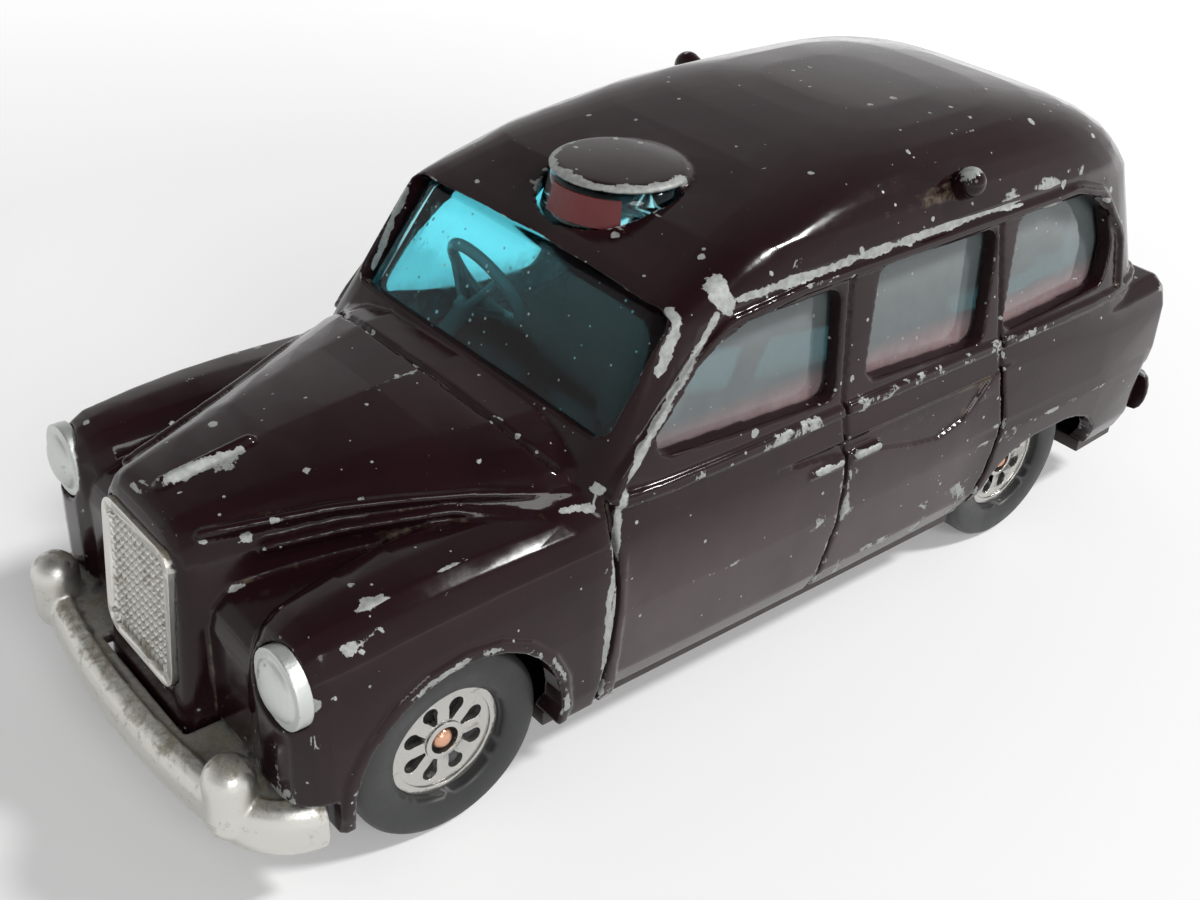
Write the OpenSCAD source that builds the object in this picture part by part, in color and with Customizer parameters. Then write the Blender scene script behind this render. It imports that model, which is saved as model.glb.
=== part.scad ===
// Die-cast toy taxi: a painted body riveted to a base plate, with a tinted window moulding,
// a seat moulding and four free-running wheels on headed wire axles.
// The front of the car faces -Y, its left side is +X, and the wheels stand on z = 0.

/* [Car] */
// Length over the bumpers
car_length = 97; // [88:0.5:106]
// Width over the doors
body_w = 36; // [33:0.5:39]
// Height of the roof crown above the ground
roof_h = 39.1; // [38.3:0.1:40.1]
// Front axle behind the front of the bumper
front_overhang = 16.1; // [15:0.1:17]
// Rear axle ahead of the tail of the car
rear_overhang = 20.9; // [19:0.1:23]

/* [Body casting] */
// Front of the body behind the front of the bumper
nose_setback = 2.9; // [2.7:0.1:3.2]
// End of the body ahead of the rear of the bumper
tail_setback = 2; // [1.9:0.05:2.4]
// Lower edge of the body above the ground
sill_h = 5.6; // [5:0.1:6.2]
// Height at which the sides are widest
waist_h = 13; // [12:0.2:14]
// Height of the moulding under the windows
belt_h = 21.9; // [21.2:0.1:22.4]
// Rise of the roof crown over the drip rail
roof_rise = 6.9; // [6.3:0.1:7.3]
// Width over the drip rails
rail_w = 30.8; // [29:0.2:32]
// Thickness of the casting
wall = 1.3; // [1.1:0.05:1.5]
// Height that rails and beads stand proud
bead_proud = 0.4; // [0.3:0.05:0.5]
// Step between the lower door panels and the doors above them
panel_step = 0.4; // [0.3:0.05:0.5]
// Width of the shut lines
shut_w = 0.4; // [0.3:0.05:0.5]
// Depth of the shut lines
shut_depth = 0.35; // [0.25:0.05:0.45]

/* [Front end] */
// Length of the bonnet from the grille to the scuttle
bonnet_len = 23.8; // [23:0.1:24.6]
// Height of the bonnet at the scuttle
bonnet_h = 25.2; // [24.6:0.1:25.8]
// Width of the bonnet at the scuttle
bonnet_w = 34.2; // [33.4:0.1:35]
// Width of the nose round the grille
nose_w = 11.8; // [11.2:0.1:12.6]
// Height of the nose over the grille
nose_h = 22.5; // [21.8:0.1:23]
// Width of a front wing
wing_w = 9.4; // [8.8:0.1:10]
// Height of a front wing's crown
wing_h = 21.4; // [20.8:0.1:22]
// Diameter of a headlamp
lamp_d = 5.3; // [4.9:0.1:5.7]
// Height of the headlamp centres
lamp_h = 17; // [16.6:0.1:17.6]
// Headlamp centre in from the side of the body
lamp_inset = 3.1; // [2.8:0.1:3.5]

/* [Rear end] */
// Width of a rear wing
fin_w = 6.4; // [5.8:0.1:7]
// Height of a rear wing's top
fin_h = 20.9; // [20.2:0.1:21.4]
// Height of the boot lid's top under the rear window
boot_h = 23.7; // [23.2:0.1:24.4]
// Width of the boot lid
boot_w = 30.4; // [29:0.2:31.4]

/* [Windows] */
// Thickness of the window moulding
glass_t = 0.8; // [0.6:0.05:1]
// Gap between the window moulding and the casting
glass_gap = 0.25; // [0.2:0.05:0.35]
// Corner radius of the windows
window_r = 1.2; // [0.9:0.1:1.5]

/* [Roof sign] */
// Diameter of the sign's lid
sign_d = 10.4; // [9.8:0.1:11]
// Thickness of the lid's rim
sign_rim = 0.55; // [0.45:0.05:0.7]
// Drop of the lid's top below the roof crown
sign_drop = 2.15; // [1.8:0.05:2.3]
// Diameter of the lens under the lid
lens_d = 9.8; // [9.2:0.1:10]
// Thickness of the label on the lens
label_t = 0.15; // [0.1:0.01:0.2]
// Diameter of a roof lamp pip
pip_d = 2.2; // [1.8:0.1:2.6]

/* [Wheels] */
// Diameter of the wheels
tyre_d = 14.4; // [13.8:0.1:14.8]
// Width of the wheels
tyre_w = 5.4; // [5:0.1:5.8]
// Outer faces of the wheels inside the widest line of the body
wheel_inset = 1.6; // [1.4:0.05:2]
// Diameter of the plated trims
trim_d = 8.5; // [8:0.1:8.8]
// Thickness of the trims
trim_t = 0.7; // [0.6:0.05:0.8]
// Depth of the trim seat in the wheel
trim_seat = 1.5; // [1.3:0.05:1.7]
// Number of holes in a trim
trim_holes = 8; // [6:1:10]
// Diameter of the axle wire
axle_d = 1.1; // [0.9:0.05:1.3]
// Diameter of the axle heads
axle_head_d = 1.5; // [1.4:0.05:1.7]
// Running clearance round the axle
axle_fit = 0.05; // [0.02:0.01:0.08]
// Side play of a wheel on its axle
wheel_play = 0.3; // [0.25:0.05:0.4]

/* [Base plate] */
// Thickness of the base plate
base_t = 1.2; // [1:0.1:1.4]
// Base plate edge inside the body edge
base_inset = 0.6; // [0.4:0.1:1]
// Thickness of the axle saddles
saddle_t = 1.6; // [1.4:0.1:2]
// Diameter of the rivet shanks
rivet_d = 1.8; // [1.6:0.1:2]
// Diameter of the rivet heads
rivet_head_d = 4; // [3.6:0.1:4.4]
// Diameter of the body posts
post_d = 4.4; // [4:0.1:5]

/* [Bumpers] */
// Height of the bumper faces
bumper_face = 4.1; // [3.8:0.1:4.4]
// Thickness of the bumper bars
bumper_t = 1.6; // [1.5:0.05:1.7]
// Lower edge of the front bumper above the ground
bumper_h = 4.3; // [4:0.1:4.6]
// Width of the front bumper
bumper_w = 34.8; // [33:0.2:36]
// Plan radius of the bumper faces
bumper_r = 70; // [60:1:90]
// Plan radius of the bumper corners
corner_r = 6; // [5:0.1:7]
// Diameter of the overriders
horn_d = 3.4; // [3:0.1:3.8]
// Height of the overrider tops above the ground
horn_h = 11.2; // [10.6:0.1:11.8]

/* [Interior] */
// Wall of the seat moulding
tray_t = 1; // [0.8:0.05:1.2]
// Side of the seat moulding in from the side of the body
tray_inset = 3.4; // [3.3:0.1:3.7]
// Height of the seat cushions above the ground
seat_h = 16; // [15.8:0.1:16.6]
// Diameter of the steering wheel
steer_d = 8; // [7.4:0.1:8.6]
// Diameter of the steering wheel's rim
steer_rim = 0.9; // [0.8:0.05:1]

/* [Hidden] */
$fn = 48;
// Cuts run past the faces that they open
over = wall;
// Seats that meet without pressing
seat_gap = 0.02;

// Places along the car
front_y = -car_length / 2;
rear_y = car_length / 2;
nose_y = front_y + nose_setback;
tail_y = rear_y - tail_setback;
body_len = tail_y - nose_y;
front_axle_y = front_y + front_overhang;
rear_axle_y = rear_y - rear_overhang;
axle_z = tyre_d / 2;
half_w = body_w / 2;

// Heights and widths that follow the roof and the sides
rail_h = roof_h - roof_rise;
sign_h = roof_h - sign_drop;
lamp_gap = body_w - 2 * lamp_inset;
tray_w = body_w - 2 * tray_inset;
scuttle_y = nose_y + bonnet_len;

// Smooth curve through hand-set [place, value] pairs
function piece_of(table, t) = max([for (i = [0 : len(table) - 2]) t >= table[i][0] ? i : 0]);
function slope_of(table, i) =
    let (a = table[max(i - 1, 0)], b = table[min(i + 1, len(table) - 1)]) (b[1] - a[1]) / (b[0] - a[0]);
function curve_at(table, t) =
    let (i = piece_of(table, t), p = table[i], q = table[i + 1], h = q[0] - p[0], u = (t - p[0]) / h)
    (2 * u ^ 3 - 3 * u ^ 2 + 1) * p[1] + (u ^ 3 - 2 * u ^ 2 + u) * h * slope_of(table, i)
    + (3 * u ^ 2 - 2 * u ^ 3) * q[1] + (u ^ 3 - u ^ 2) * h * slope_of(table, i + 1);

// Signed power, which squares up an ellipse
function bend(v, e) = sign(v) * abs(v) ^ e;

// Cross-section of a form that runs along the car, with its own squareness above and below its middle
function section(cx, half, low, mid, high, n_low, n_high, y, count) =
    [for (i = [0 : count - 1]) let (t = 360 * i / count, n = sin(t) < 0 ? n_low : n_high)
        [cx + half * bend(cos(t), 2 / n), y,
         mid + (sin(t) < 0 ? mid - low : high - mid) * bend(sin(t), 2 / n)]];

// Stations from y0 to y1 as [y, inset], at shares of the run between ends rounded to radii r0 and r1
function stations(y0, y1, r0, r1, mids, ends) = concat(
    [for (k = [0 : ends - 1]) let (a = 90 * k / ends) [y0 + r0 * (1 - cos(a)), r0 * (1 - sin(a))]],
    [for (share = mids) [y0 + r0 + (y1 - r1 - y0 - r0) * share, 0]],
    [for (k = [ends - 1 : -1 : 0]) let (a = 90 * k / ends) [y1 - r1 * (1 - cos(a)), r1 * (1 - sin(a))]]);

even_six = [for (k = [0 : 6]) k / 6];

// Closed skin over a stack of rings with equal numbers of points
module skin(rings) {
    n = len(rings[0]);
    last = len(rings) - 1;
    polyhedron(
        points = [for (r = rings) each r],
        faces = concat(
            [[for (i = [n - 1 : -1 : 0]) i]],
            [for (k = [0 : last - 1], i = [0 : n - 1])
                let (a = k * n + i, b = k * n + (i + 1) % n)
                each [[a, b, b + n], [a, b + n, a + n]]],
            [[for (i = [0 : n - 1]) last * n + i]]));
}

// Lays an outline drawn as [y, z] across the car, from x = -span to x = +span
module across(span = body_w) {
    rotate([90, 0, 90])
        translate([0, 0, -span])
            linear_extrude(2 * span)
                children();
}

// Corners of an outline rounded to a radius
module rounded(r) {
    offset(r)
        offset(-r)
            children();
}

// A band of the given width along the edge of an outline
module edge_band(w) {
    difference() {
        offset(w / 2)
            children();
        offset(-w / 2)
            children();
    }
}

function mix(a, b, t) = a + (b - a) * t;
function along(share) = nose_y + share * body_len;

// Lower body, sill to belt, as a squared oval along the whole car
tub_top = belt_h + wall * 2;
tub_drop_share = 1.05;
tub_front_share = 0.02;
tub_w_shares = [[0, 0.78], [0.05, 0.9], [0.12, 0.955], [0.25, 0.98], [0.5, 1], [0.75, 1], [0.9, 0.995],
    [1, 0.97]];
tub_top_shares = [[0, 0.73], [0.05, 0.765], [0.11, 0.81], [0.2, 0.87], [0.28, 0.98], [0.4, 1], [0.86, 1],
    [0.93, 0.93], [1, 0.83]];
tub_square = 4.5;
tub_square_low = 3;
tub_end_r = 2.2;
tub_low = waist_h - waist_h * tub_drop_share;
function tub_ring(y, grow, count) =
    let (t = min(max((y - nose_y) / body_len, 0), 1))
    section(0, half_w * curve_at(tub_w_shares, t) + grow, tub_low - grow, waist_h,
        max(tub_top * curve_at(tub_top_shares, t), waist_h + wall) + grow, tub_square_low, tub_square, y,
            count);
tub_stations = [0, 0.05, 0.1, 0.15, 0.19, 0.23, 0.28, 0.36, 0.55, 0.75, 0.85, 0.92, 1];
module tub(grow = 0, count = 24) {
    skin([for (s = stations(along(tub_front_share) - grow, tail_y + grow, tub_end_r, tub_end_r,
        tub_stations, 3))
        tub_ring(s[0], grow - s[1], count)]);
}

// Cabin from the belt to the roof, as a stack of plan outlines
cabin_foot = belt_h - wall * 2;
cabin_mid_share = 0.5;
screen_foot_share = 0.24;
screen_top_share = 0.323;
back_foot_share = 0.985;
back_top_share = 0.94;
crown_share = 0.66;
cabin_square_front = 14;
cabin_square_inside = 24;
cabin_square_rear = 7;
dome_square_front = 4;
dome_square_rear = 3;
// Level from which the roof keeps its full thickness
dome_full_level = 0.3;
// Roof levels as shares of its rise, and at each level the width and the run from either end to the crown
dome_levels = [0.07, 0.18, 0.31, 0.45, 0.6, 0.74, 0.86, 0.94, 0.985];
dome_w_shares = [[0, 1], [0.15, 0.99], [0.31, 0.97], [0.45, 0.945], [0.6, 0.9], [0.75, 0.84], [0.87, 0.735],
    [0.94, 0.6], [0.985, 0.38], [1, 0.2]];
dome_front_shares = [[0, 0], [0.12, 0.055], [0.3, 0.165], [0.42, 0.22], [0.63, 0.42], [0.78, 0.56], [0.9,
    0.72],
    [0.985, 0.88], [1, 0.95]];
dome_rear_shares = [[0, 0], [0.25, 0.045], [0.46, 0.095], [0.7, 0.215], [0.87, 0.38], [0.96, 0.57], [1, 0.8]];
function cabin_ring(half, y_front, y_rear, z, n_front, n_rear, count) =
    let (mid = mix(y_front, y_rear, cabin_mid_share))
    [for (i = [0 : count - 1])
        let (t = 360 * (i + 1 / 2) / count, front = sin(t) > 0, n = front ? n_front : n_rear)
        [half * bend(cos(t), 2 / n), mid - (front ? mid - y_front : y_rear - mid) * bend(sin(t), 2 / n), z]];
function cabin_wall_ring(z, grow, square, count) =
    let (t = (z - cabin_foot) / (rail_h - cabin_foot))
    cabin_ring(mix(half_w - panel_step, rail_w / 2, t) + grow,
        along(mix(screen_foot_share, screen_top_share, t)) - grow,
        along(mix(back_foot_share, back_top_share, t)) + grow, z, square, cabin_square_rear, count);
function cabin_dome_ring(level, grow, square, count) =
    let (crown = along(crown_share))
    cabin_ring((rail_w / 2 + grow) * curve_at(dome_w_shares, level),
        mix(along(screen_top_share) - grow, crown, curve_at(dome_front_shares, level)),
        mix(along(back_top_share) + grow, crown, curve_at(dome_rear_shares, level)),
        rail_h + (roof_h - rail_h) * level + grow * min(level / dome_full_level, 1),
        mix(square, dome_square_front, level), mix(cabin_square_rear, dome_square_rear, level), count);
function cabin_rings(foot, grow, square, count) = concat(
    [for (z = [foot, rail_h]) cabin_wall_ring(z, grow, square, count)],
    [for (level = dome_levels) cabin_dome_ring(level, grow, square, count)]);
module cabin(grow = 0, square = cabin_square_front, count = 40) {
    skin(cabin_rings(cabin_foot - grow, grow, square, count));
}

// Bonnet and nose, tapering to the grille, whose face leans back
bonnet_w_shares = [[0, 0], [0.12, 0.05], [0.5, 0.4], [0.8, 0.75], [1, 1]];
bonnet_top_shares = [[0, 0], [0.2, 0.35], [0.6, 0.8], [1, 1]];
bonnet_low_share = 0.35;
bonnet_square = 4.4;
nose_square = 5;
bonnet_end_r = 1.2;
bonnet_tuck = wall * 2;
nose_lean = 1.3;
function leaned(ring, t) = [for (p = ring) [p[0], p[1] + nose_lean * (1 - t) * (p[2] / nose_h - 1 / 2),
    p[2]]];
function bonnet_ring(y, grow, count) =
    let (t = min(max((y - nose_y) / bonnet_len, 0), 1))
    leaned(section(0, mix(nose_w, bonnet_w, curve_at(bonnet_w_shares, t)) / 2 + grow,
        sill_h - wall, nose_h * bonnet_low_share,
        mix(nose_h, bonnet_h, curve_at(bonnet_top_shares, t)) + grow, nose_square * 2,
        mix(nose_square, bonnet_square, t), y, count), t);
module bonnet(grow = 0, count = 28) {
    skin([for (s = stations(nose_y - grow, scuttle_y + bonnet_tuck, bonnet_end_r, 0, even_six, 3))
        bonnet_ring(s[0], grow - s[1], count)]);
}

// Scuttle, the flat shelf under the windscreen
scuttle_h = 24.9;
scuttle_w = 31.6;
scuttle_square = 5;
scuttle_end_r = 0.9;
scuttle_depth = 6;
module scuttle(grow = 0, count = 16) {
    skin([for (s = stations(scuttle_y - grow, scuttle_y + scuttle_depth, scuttle_end_r, 0, [0, 1], 3))
        let (g = grow - s[1])
        section(0, scuttle_w / 2 + g, waist_h, waist_h + wall, scuttle_h + g, tub_square_low,
            scuttle_square, s[0],
            count)]);
}

// Front wing on the left, from the headlamp to the door
wing_front = 1.4;
wing_len = bonnet_len - wing_front + wall * 2;
wing_mid_shares = [[0, 1.05], [0.35, 1.02], [1, 1]];
wing_w_shares = [[0, 0.76], [0.12, 0.86], [0.35, 0.96], [1, 1]];
wing_top_shares = [[0, 0.93], [0.12, 0.965], [0.4, 1], [0.7, 1], [1, 0.99]];
wing_square = 2.6;
wing_square_rear = 3.6;
wing_end_r = 2.4;
wing_outer = half_w - panel_step / 2;
function wing_ring(y, grow, count) =
    let (t = min(max((y - nose_y - wing_front) / wing_len, 0), 1))
    section((wing_outer - wing_w / 2) * curve_at(wing_mid_shares, t), wing_w * curve_at(wing_w_shares,
        t) / 2 + grow,
        sill_h - wall * 4 - grow, waist_h, wing_h * curve_at(wing_top_shares, t) + grow, tub_square_low,
        mix(wing_square, wing_square_rear, t), y, count);
module wing(grow = 0, count = 20) {
    skin([for (s = stations(nose_y + wing_front - grow, nose_y + wing_front + wing_len, wing_end_r, 0,
        even_six, 3))
        wing_ring(s[0], grow - s[1], count)]);
}

// Rear wing on the left, ending in a small fin
fin_start_share = 0.68;
fin_top_shares = [[0, 0.9], [0.25, 0.98], [0.6, 1], [1, 1.01]];
fin_square = 3.4;
fin_end_r = 1;
function fin_ring(y, grow, count) =
    let (y0 = along(fin_start_share), t = min(max((y - y0) / (tail_y - y0), 0), 1))
    section(half_w * curve_at(tub_w_shares, mix(fin_start_share, 1, t)) - fin_w / 2, fin_w / 2 + grow,
        waist_h - wall, waist_h + wall, fin_h * curve_at(fin_top_shares, t) + grow, fin_square,
            fin_square, y, count);
module fin(grow = 0, count = 14) {
    skin([for (s = stations(along(fin_start_share) - grow, tail_y + grow, fin_end_r, fin_end_r, [0,
        1 / 3, 2 / 3, 1], 2))
        fin_ring(s[0], grow - s[1], count)]);
}

// Boot lid under the rear window, with its rounded upper edge
boot_start_share = 0.85;
boot_end_share = 0.968;
boot_square = 4;
boot_end_r = 1.2;
module boot(grow = 0, count = 16) {
    skin([for (s = stations(along(boot_start_share), along(boot_end_share) + grow, 0, boot_end_r, [0, 1], 3))
        let (g = grow - s[1])
        section(0, boot_w / 2 + g, waist_h, waist_h + wall, boot_h + g, boot_square, boot_square, s[0],
            count)]);
}

// What stands on the left, and its mirror image on the right
module both_sides() {
    children();
    mirror([1, 0, 0])
        children();
}

// Places in side view, as shares of the cabin from the scuttle to the tail and from the belt to the rail
cabin_len = tail_y - scuttle_y;
cabin_h = rail_h - belt_h;
function beside(shares) = [for (s = shares) [scuttle_y + s[0] * cabin_len, belt_h + s[1] * cabin_h]];

// Windows in side view
front_window_shares = [[0.064, 0.2], [0.105, 0.56], [0.152, 0.79], [0.205, 0.9], [0.338, 0.905], [0.33, 0.1]];
rear_window_shares = [[0.376, 0.14], [0.398, 0.955], [0.6, 0.935], [0.583, 0.06]];
quarter_window_shares = [[0.618, 0.07], [0.64, 0.965], [0.777, 0.945], [0.828, 0.72], [0.845, 0.42],
    [0.828, 0.12]];
module side_window(shares) {
    rounded(window_r)
        polygon(beside(shares));
}

// Windscreen and rear window in front view, as shares of the half width and of the height from belt to rail
screen_shares = [[-0.95, 0.15], [0.95, 0.15], [0.94, 1.06], [0, 1.1], [-0.94, 1.06]];
screen_slope = 0.35;
back_window_shares = [[-0.55, 0.42], [0.55, 0.42], [0.5, 0.88], [-0.5, 0.88]];
module end_window(shares) {
    rounded(window_r)
        polygon([for (s = shares) [s[0] * rail_w / 2, belt_h + s[1] * cabin_h]]);
}
screen_y = along(screen_top_share) + wall;
// Lays an outline drawn as [x, z] along the car from y0 to y1
module lengthways(y0, y1) {
    translate([0, y1, 0])
        rotate([90, 0, 0])
            linear_extrude(y1 - y0)
                children();
}

// A line of one width through a list of points
function way(points, i) =
    let (d = points[min(i + 1, len(points) - 1)] - points[max(i - 1, 0)]) [-d[1], d[0]] / norm(d);
module stroke(points, w) {
    last = len(points) - 1;
    polygon(concat([for (i = [0 : last]) points[i] + way(points, i) * w / 2],
        [for (i = [last : -1 : 0]) points[i] - way(points, i) * w / 2]));
}

// Drip rail, door joints and lower door panels in side view
rail_shares = [[0.026, -0.5], [0.026, 0.06], [0.127, 0.76], [0.172, 0.94], [0.28, 1], [0.75, 1.03],
    [0.81, 0.92],
    [0.868, 0.485], [0.88, -0.5]];
rail_round = 2.5;
rail_line_w = 0.7;
front_joint_shares = [[0.023, 0], [0.023, -0.27], [0.03, -0.74], [0.026, -1.15], [0.01, -1.7]];
middle_joint_shares = [[0.352, 0.98], [0.343, 0.08], [0.356, -0.53], [0.354, -0.97], [0.334, -1.7]];
rear_joint_shares = [[0.604, 0.99], [0.616, 0.1], [0.624, -0.25], [0.645, -0.74], [0.638, -1.2], [0.606,
    -1.7]];
panel_edge_shares = [[0.023, -0.08], [0.13, -0.2], [0.343, -0.35], [0.505, -0.6], [0.558, -0.55], [0.618,
    -0.22],
    [0.735, -0.185], [1.1, -0.185]];
panel_steps = 24;
panel_edge = [for (k = [0 : panel_steps])
    let (t = mix(panel_edge_shares[0][0], panel_edge_shares[len(panel_edge_shares) - 1][0], k / panel_steps))
    [t, curve_at(panel_edge_shares, t)]];
belt_line_w = 0.86;

// Front arch round the wheel, and the long low arch at the back
front_arch_r = 8.1;
rear_arch_offset = 2.9;
rear_arch_half = 8.7;
rear_arch_h = 10.9;
rear_arch_square = 2.6;
arch_steps = 16;
arch_lip_w = 0.9;
arch_lip_proud = 0.25;
well_gap = 0.8;
well_skin = 1;
module front_arch() {
    translate([front_axle_y, axle_z])
        circle(front_arch_r);
}
module rear_arch() {
    polygon([for (k = [0 : arch_steps]) let (a = 180 * k / arch_steps)
        [rear_axle_y + rear_arch_offset + rear_arch_half * bend(cos(a), 2 / rear_arch_square),
         sill_h - over + (rear_arch_h - sill_h + over) * bend(sin(a), 2 / rear_arch_square)]]);
}

// Wheel places
wheel_face = half_w - wheel_inset;
wheel_back = wheel_face - tyre_w;

// Two beads along each side of the bonnet and the joint behind its lid, in plan as shares of half the width
// and of the bonnet length
bead_shares = [
    [[0.275, 0.1], [0.434, 0.42], [0.522, 0.566], [0.644, 0.75], [0.85, 1.07]],
    [[0.382, 0.24], [0.483, 0.437], [0.635, 0.69], [0.763, 0.848], [0.892, 1.09]]];
lid_joint_shares = [[0, 0.935], [0.385, 0.935], [0.584, 0.947], [0.74, 0.995]];
bead_w = 0.8;
function in_plan(shares) = [for (s = shares) [s[0] * half_w, nose_y + s[1] * bonnet_len]];

// Small cast details: handles, roof lamp pips, bonnet rib and tail lamps
handle_d = 0.8;
handle_shares = [[0.298, 0.342], [0.368, 0.404]];
handle_drop_share = 0.4;
pip_in = 1.3;
pip_drop = 3.6;
pip_x = rail_w / 2 - pip_in;
pip_z = roof_h - pip_drop;
pip_share = 0.662;
rib_shares = [0.1, 0.36];
rib_d = 0.9;
tail_lamp_d = 2;
tail_lamp_h = 16.5;

// Roof sign: a round lid that runs into the roof behind, over a lens that tapers upwards
sign_share = 0.3013;
roof_run = along(crown_share) - along(screen_top_share);
sign_y = along(screen_top_share) + sign_share * roof_run;
lid_low = sign_h - sign_rim;
lid_bevel = 0.3;
lens_taper = 0.25;
lens_back = 1;
lens_h = 2.3;
lens_floor = lid_low - lens_h;
lens_slope_share = 1.2054;
lens_slope = atan(lens_slope_share * roof_rise / roof_run);
lens_depth = lid_low - rail_h;
label_h = 2.5;
label_low = lid_low - label_h;
label_top_gap = 0.5;
label_from = -16;
label_arc = 67;
// Space round the middle of the sign that is wider than the lens by the given amount
module lens_space(grow) {
    intersection() {
        translate([0, sign_y, rail_h])
            cylinder(r1 = lens_d / 2 + lens_taper * lens_depth + grow, r2 = lens_d / 2 + grow,
                h = lens_depth);
        translate([-sign_d, sign_y - sign_d, rail_h])
            cube([2 * sign_d, sign_d + lens_back + grow, sign_d]);
    }
}

// Posts that the rivets hold
post_places = [front_axle_y - tyre_d * 0.4, tail_y - post_d * 0.9];
post_h = belt_h - wall * 2;
rivet_hole_d = rivet_d + axle_fit * 4;
rivet_head_t = 0.7;
rivet_recess = rivet_head_t + axle_fit;
rivet_len = base_t + post_d - rivet_recess;

// Front of the body cut away on either side of the nose, over the bumper and its flange
flange_gap = 0.15;
bumper_cut_x = nose_w / 2;
bumper_cut_y = front_axle_y - front_arch_r - wall * 0.75;

// Headlamp and grille seats
lamp_y = nose_y + wing_front + wall;
grille_w = 9.4;
grille_h = 10.6;
grille_low = 10.2;
grille_r = 1.6;
grille_t = 0.9;
grille_gap = 0.05;
lean_angle = atan(nose_lean / nose_h);
module on_nose() {
    translate([0, nose_y + nose_lean * ((grille_low + grille_h / 2) / nose_h - 1 / 2),
        grille_low + grille_h / 2])
        rotate([90 - lean_angle, 0, 0])
            children();
}
// Corners of a rectangle about the origin, each rounded by its own arc
function round_rect(w, h, r, steps = 6) = [for (c = [[1, 1, 0], [-1, 1, 90], [-1, -1, 180], [1, -1,
    270]], k = [0 : steps])
    [c[0] * (w / 2 - r) + r * cos(c[2] + 90 * k / steps),
        c[1] * (h / 2 - r) + r * sin(c[2] + 90 * k / steps)]];

// Height of the bonnet at a place, and a round bead laid along its surface
function bonnet_z(x, y) =
    let (t = min(max((y - nose_y) / bonnet_len, 0), 1), mid = nose_h * bonnet_low_share,
        half = mix(nose_w, bonnet_w, curve_at(bonnet_w_shares, t)) / 2, n = mix(nose_square,
            bonnet_square, t))
    mid + (mix(nose_h, bonnet_h, curve_at(bonnet_top_shares, t)) - mid) * (1 - (x / half) ^ n) ^ (1 / n);
module bead(shares) {
    points = [for (p = in_plan(shares)) [p[0], p[1], bonnet_z(p[0], p[1])]];
    for (i = [0 : len(points) - 2])
        hull()
            for (p = [points[i], points[i + 1]])
                translate(p)
                    sphere(d = bead_w, $fn = 6);
}

// Outside of the body with its rails, beads and panels
module body_outside() {
    tub(-panel_step);
    intersection() {
        tub();
        across()
            polygon(concat([[nose_y - over, 0], [nose_y - over, tub_top], [along(tub_stations[5]), tub_top]],
                beside(panel_edge), [[rear_y + over, 0]]));
    }
    cabin();
    bonnet();
    scuttle();
    both_sides() {
        wing();
        fin();
    }
    boot();
    intersection() {
        cabin(bead_proud);
        across()
            difference() {
                edge_band(rail_line_w)
                    rounded(rail_round)
                        polygon(beside(rail_shares));
                translate([nose_y, 0])
                    square([car_length, belt_h]);
            }
    }
    intersection() {
        cabin(bead_proud);
        across()
            translate([scuttle_y + wall, belt_h - belt_line_w / 2])
                square([cabin_len, belt_line_w]);
    }
    intersection() {
        both_sides()
            wing(arch_lip_proud);
        across()
            edge_band(arch_lip_w * 2)
                front_arch();
    }
    both_sides()
        for (b = bead_shares)
            bead(b);
    both_sides() {
        for (h = handle_shares)
            hull()
                for (s = h)
                    translate([half_w - panel_step / 2, scuttle_y + s * cabin_len,
                        belt_h - handle_drop_share * cabin_h])
                        sphere(d = handle_d, $fn = 8);
        hull() {
            translate([pip_x, along(pip_share), pip_z])
                sphere(d = pip_d, $fn = 12);
            translate([pip_x - pip_d / 2, along(pip_share), pip_z - pip_d / 2])
                sphere(d = pip_d, $fn = 12);
        }
        hull()
            for (k = [-1, 1])
                translate([half_w - fin_w / 2, tail_y - tail_lamp_d / 4, tail_lamp_h + k * tail_lamp_d / 2])
                    sphere(d = tail_lamp_d, $fn = 12);
    }
    hull()
        for (s = rib_shares)
            translate([0, nose_y + s * bonnet_len, mix(nose_h, bonnet_h, curve_at(bonnet_top_shares, s))])
                sphere(d = rib_d, $fn = 8);
    translate([0, sign_y, lid_low]) {
        cylinder(d = sign_d, h = sign_rim - lid_bevel, $fn = 40);
        translate([0, 0, sign_rim - lid_bevel])
            cylinder(d1 = sign_d, d2 = sign_d - lid_bevel * 4, h = lid_bevel, $fn = 40);
    }
    translate([0, sign_y, rail_h])
        cylinder(d = lens_d, h = lens_depth, $fn = 32);
}

// Joints between the doors and behind the bonnet lid, cut to one depth
module door_joints() {
    difference() {
        across() {
            stroke(beside(front_joint_shares), shut_w);
            stroke(beside(middle_joint_shares), shut_w);
            stroke(beside(rear_joint_shares), shut_w);
        }
        tub(-panel_step - shut_depth);
        cabin(-shut_depth);
    }
    difference() {
        both_sides()
            translate([0, 0, waist_h])
                linear_extrude(bonnet_h)
                    stroke(in_plan(lid_joint_shares), shut_w);
        bonnet(-shut_depth);
    }
}

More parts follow.
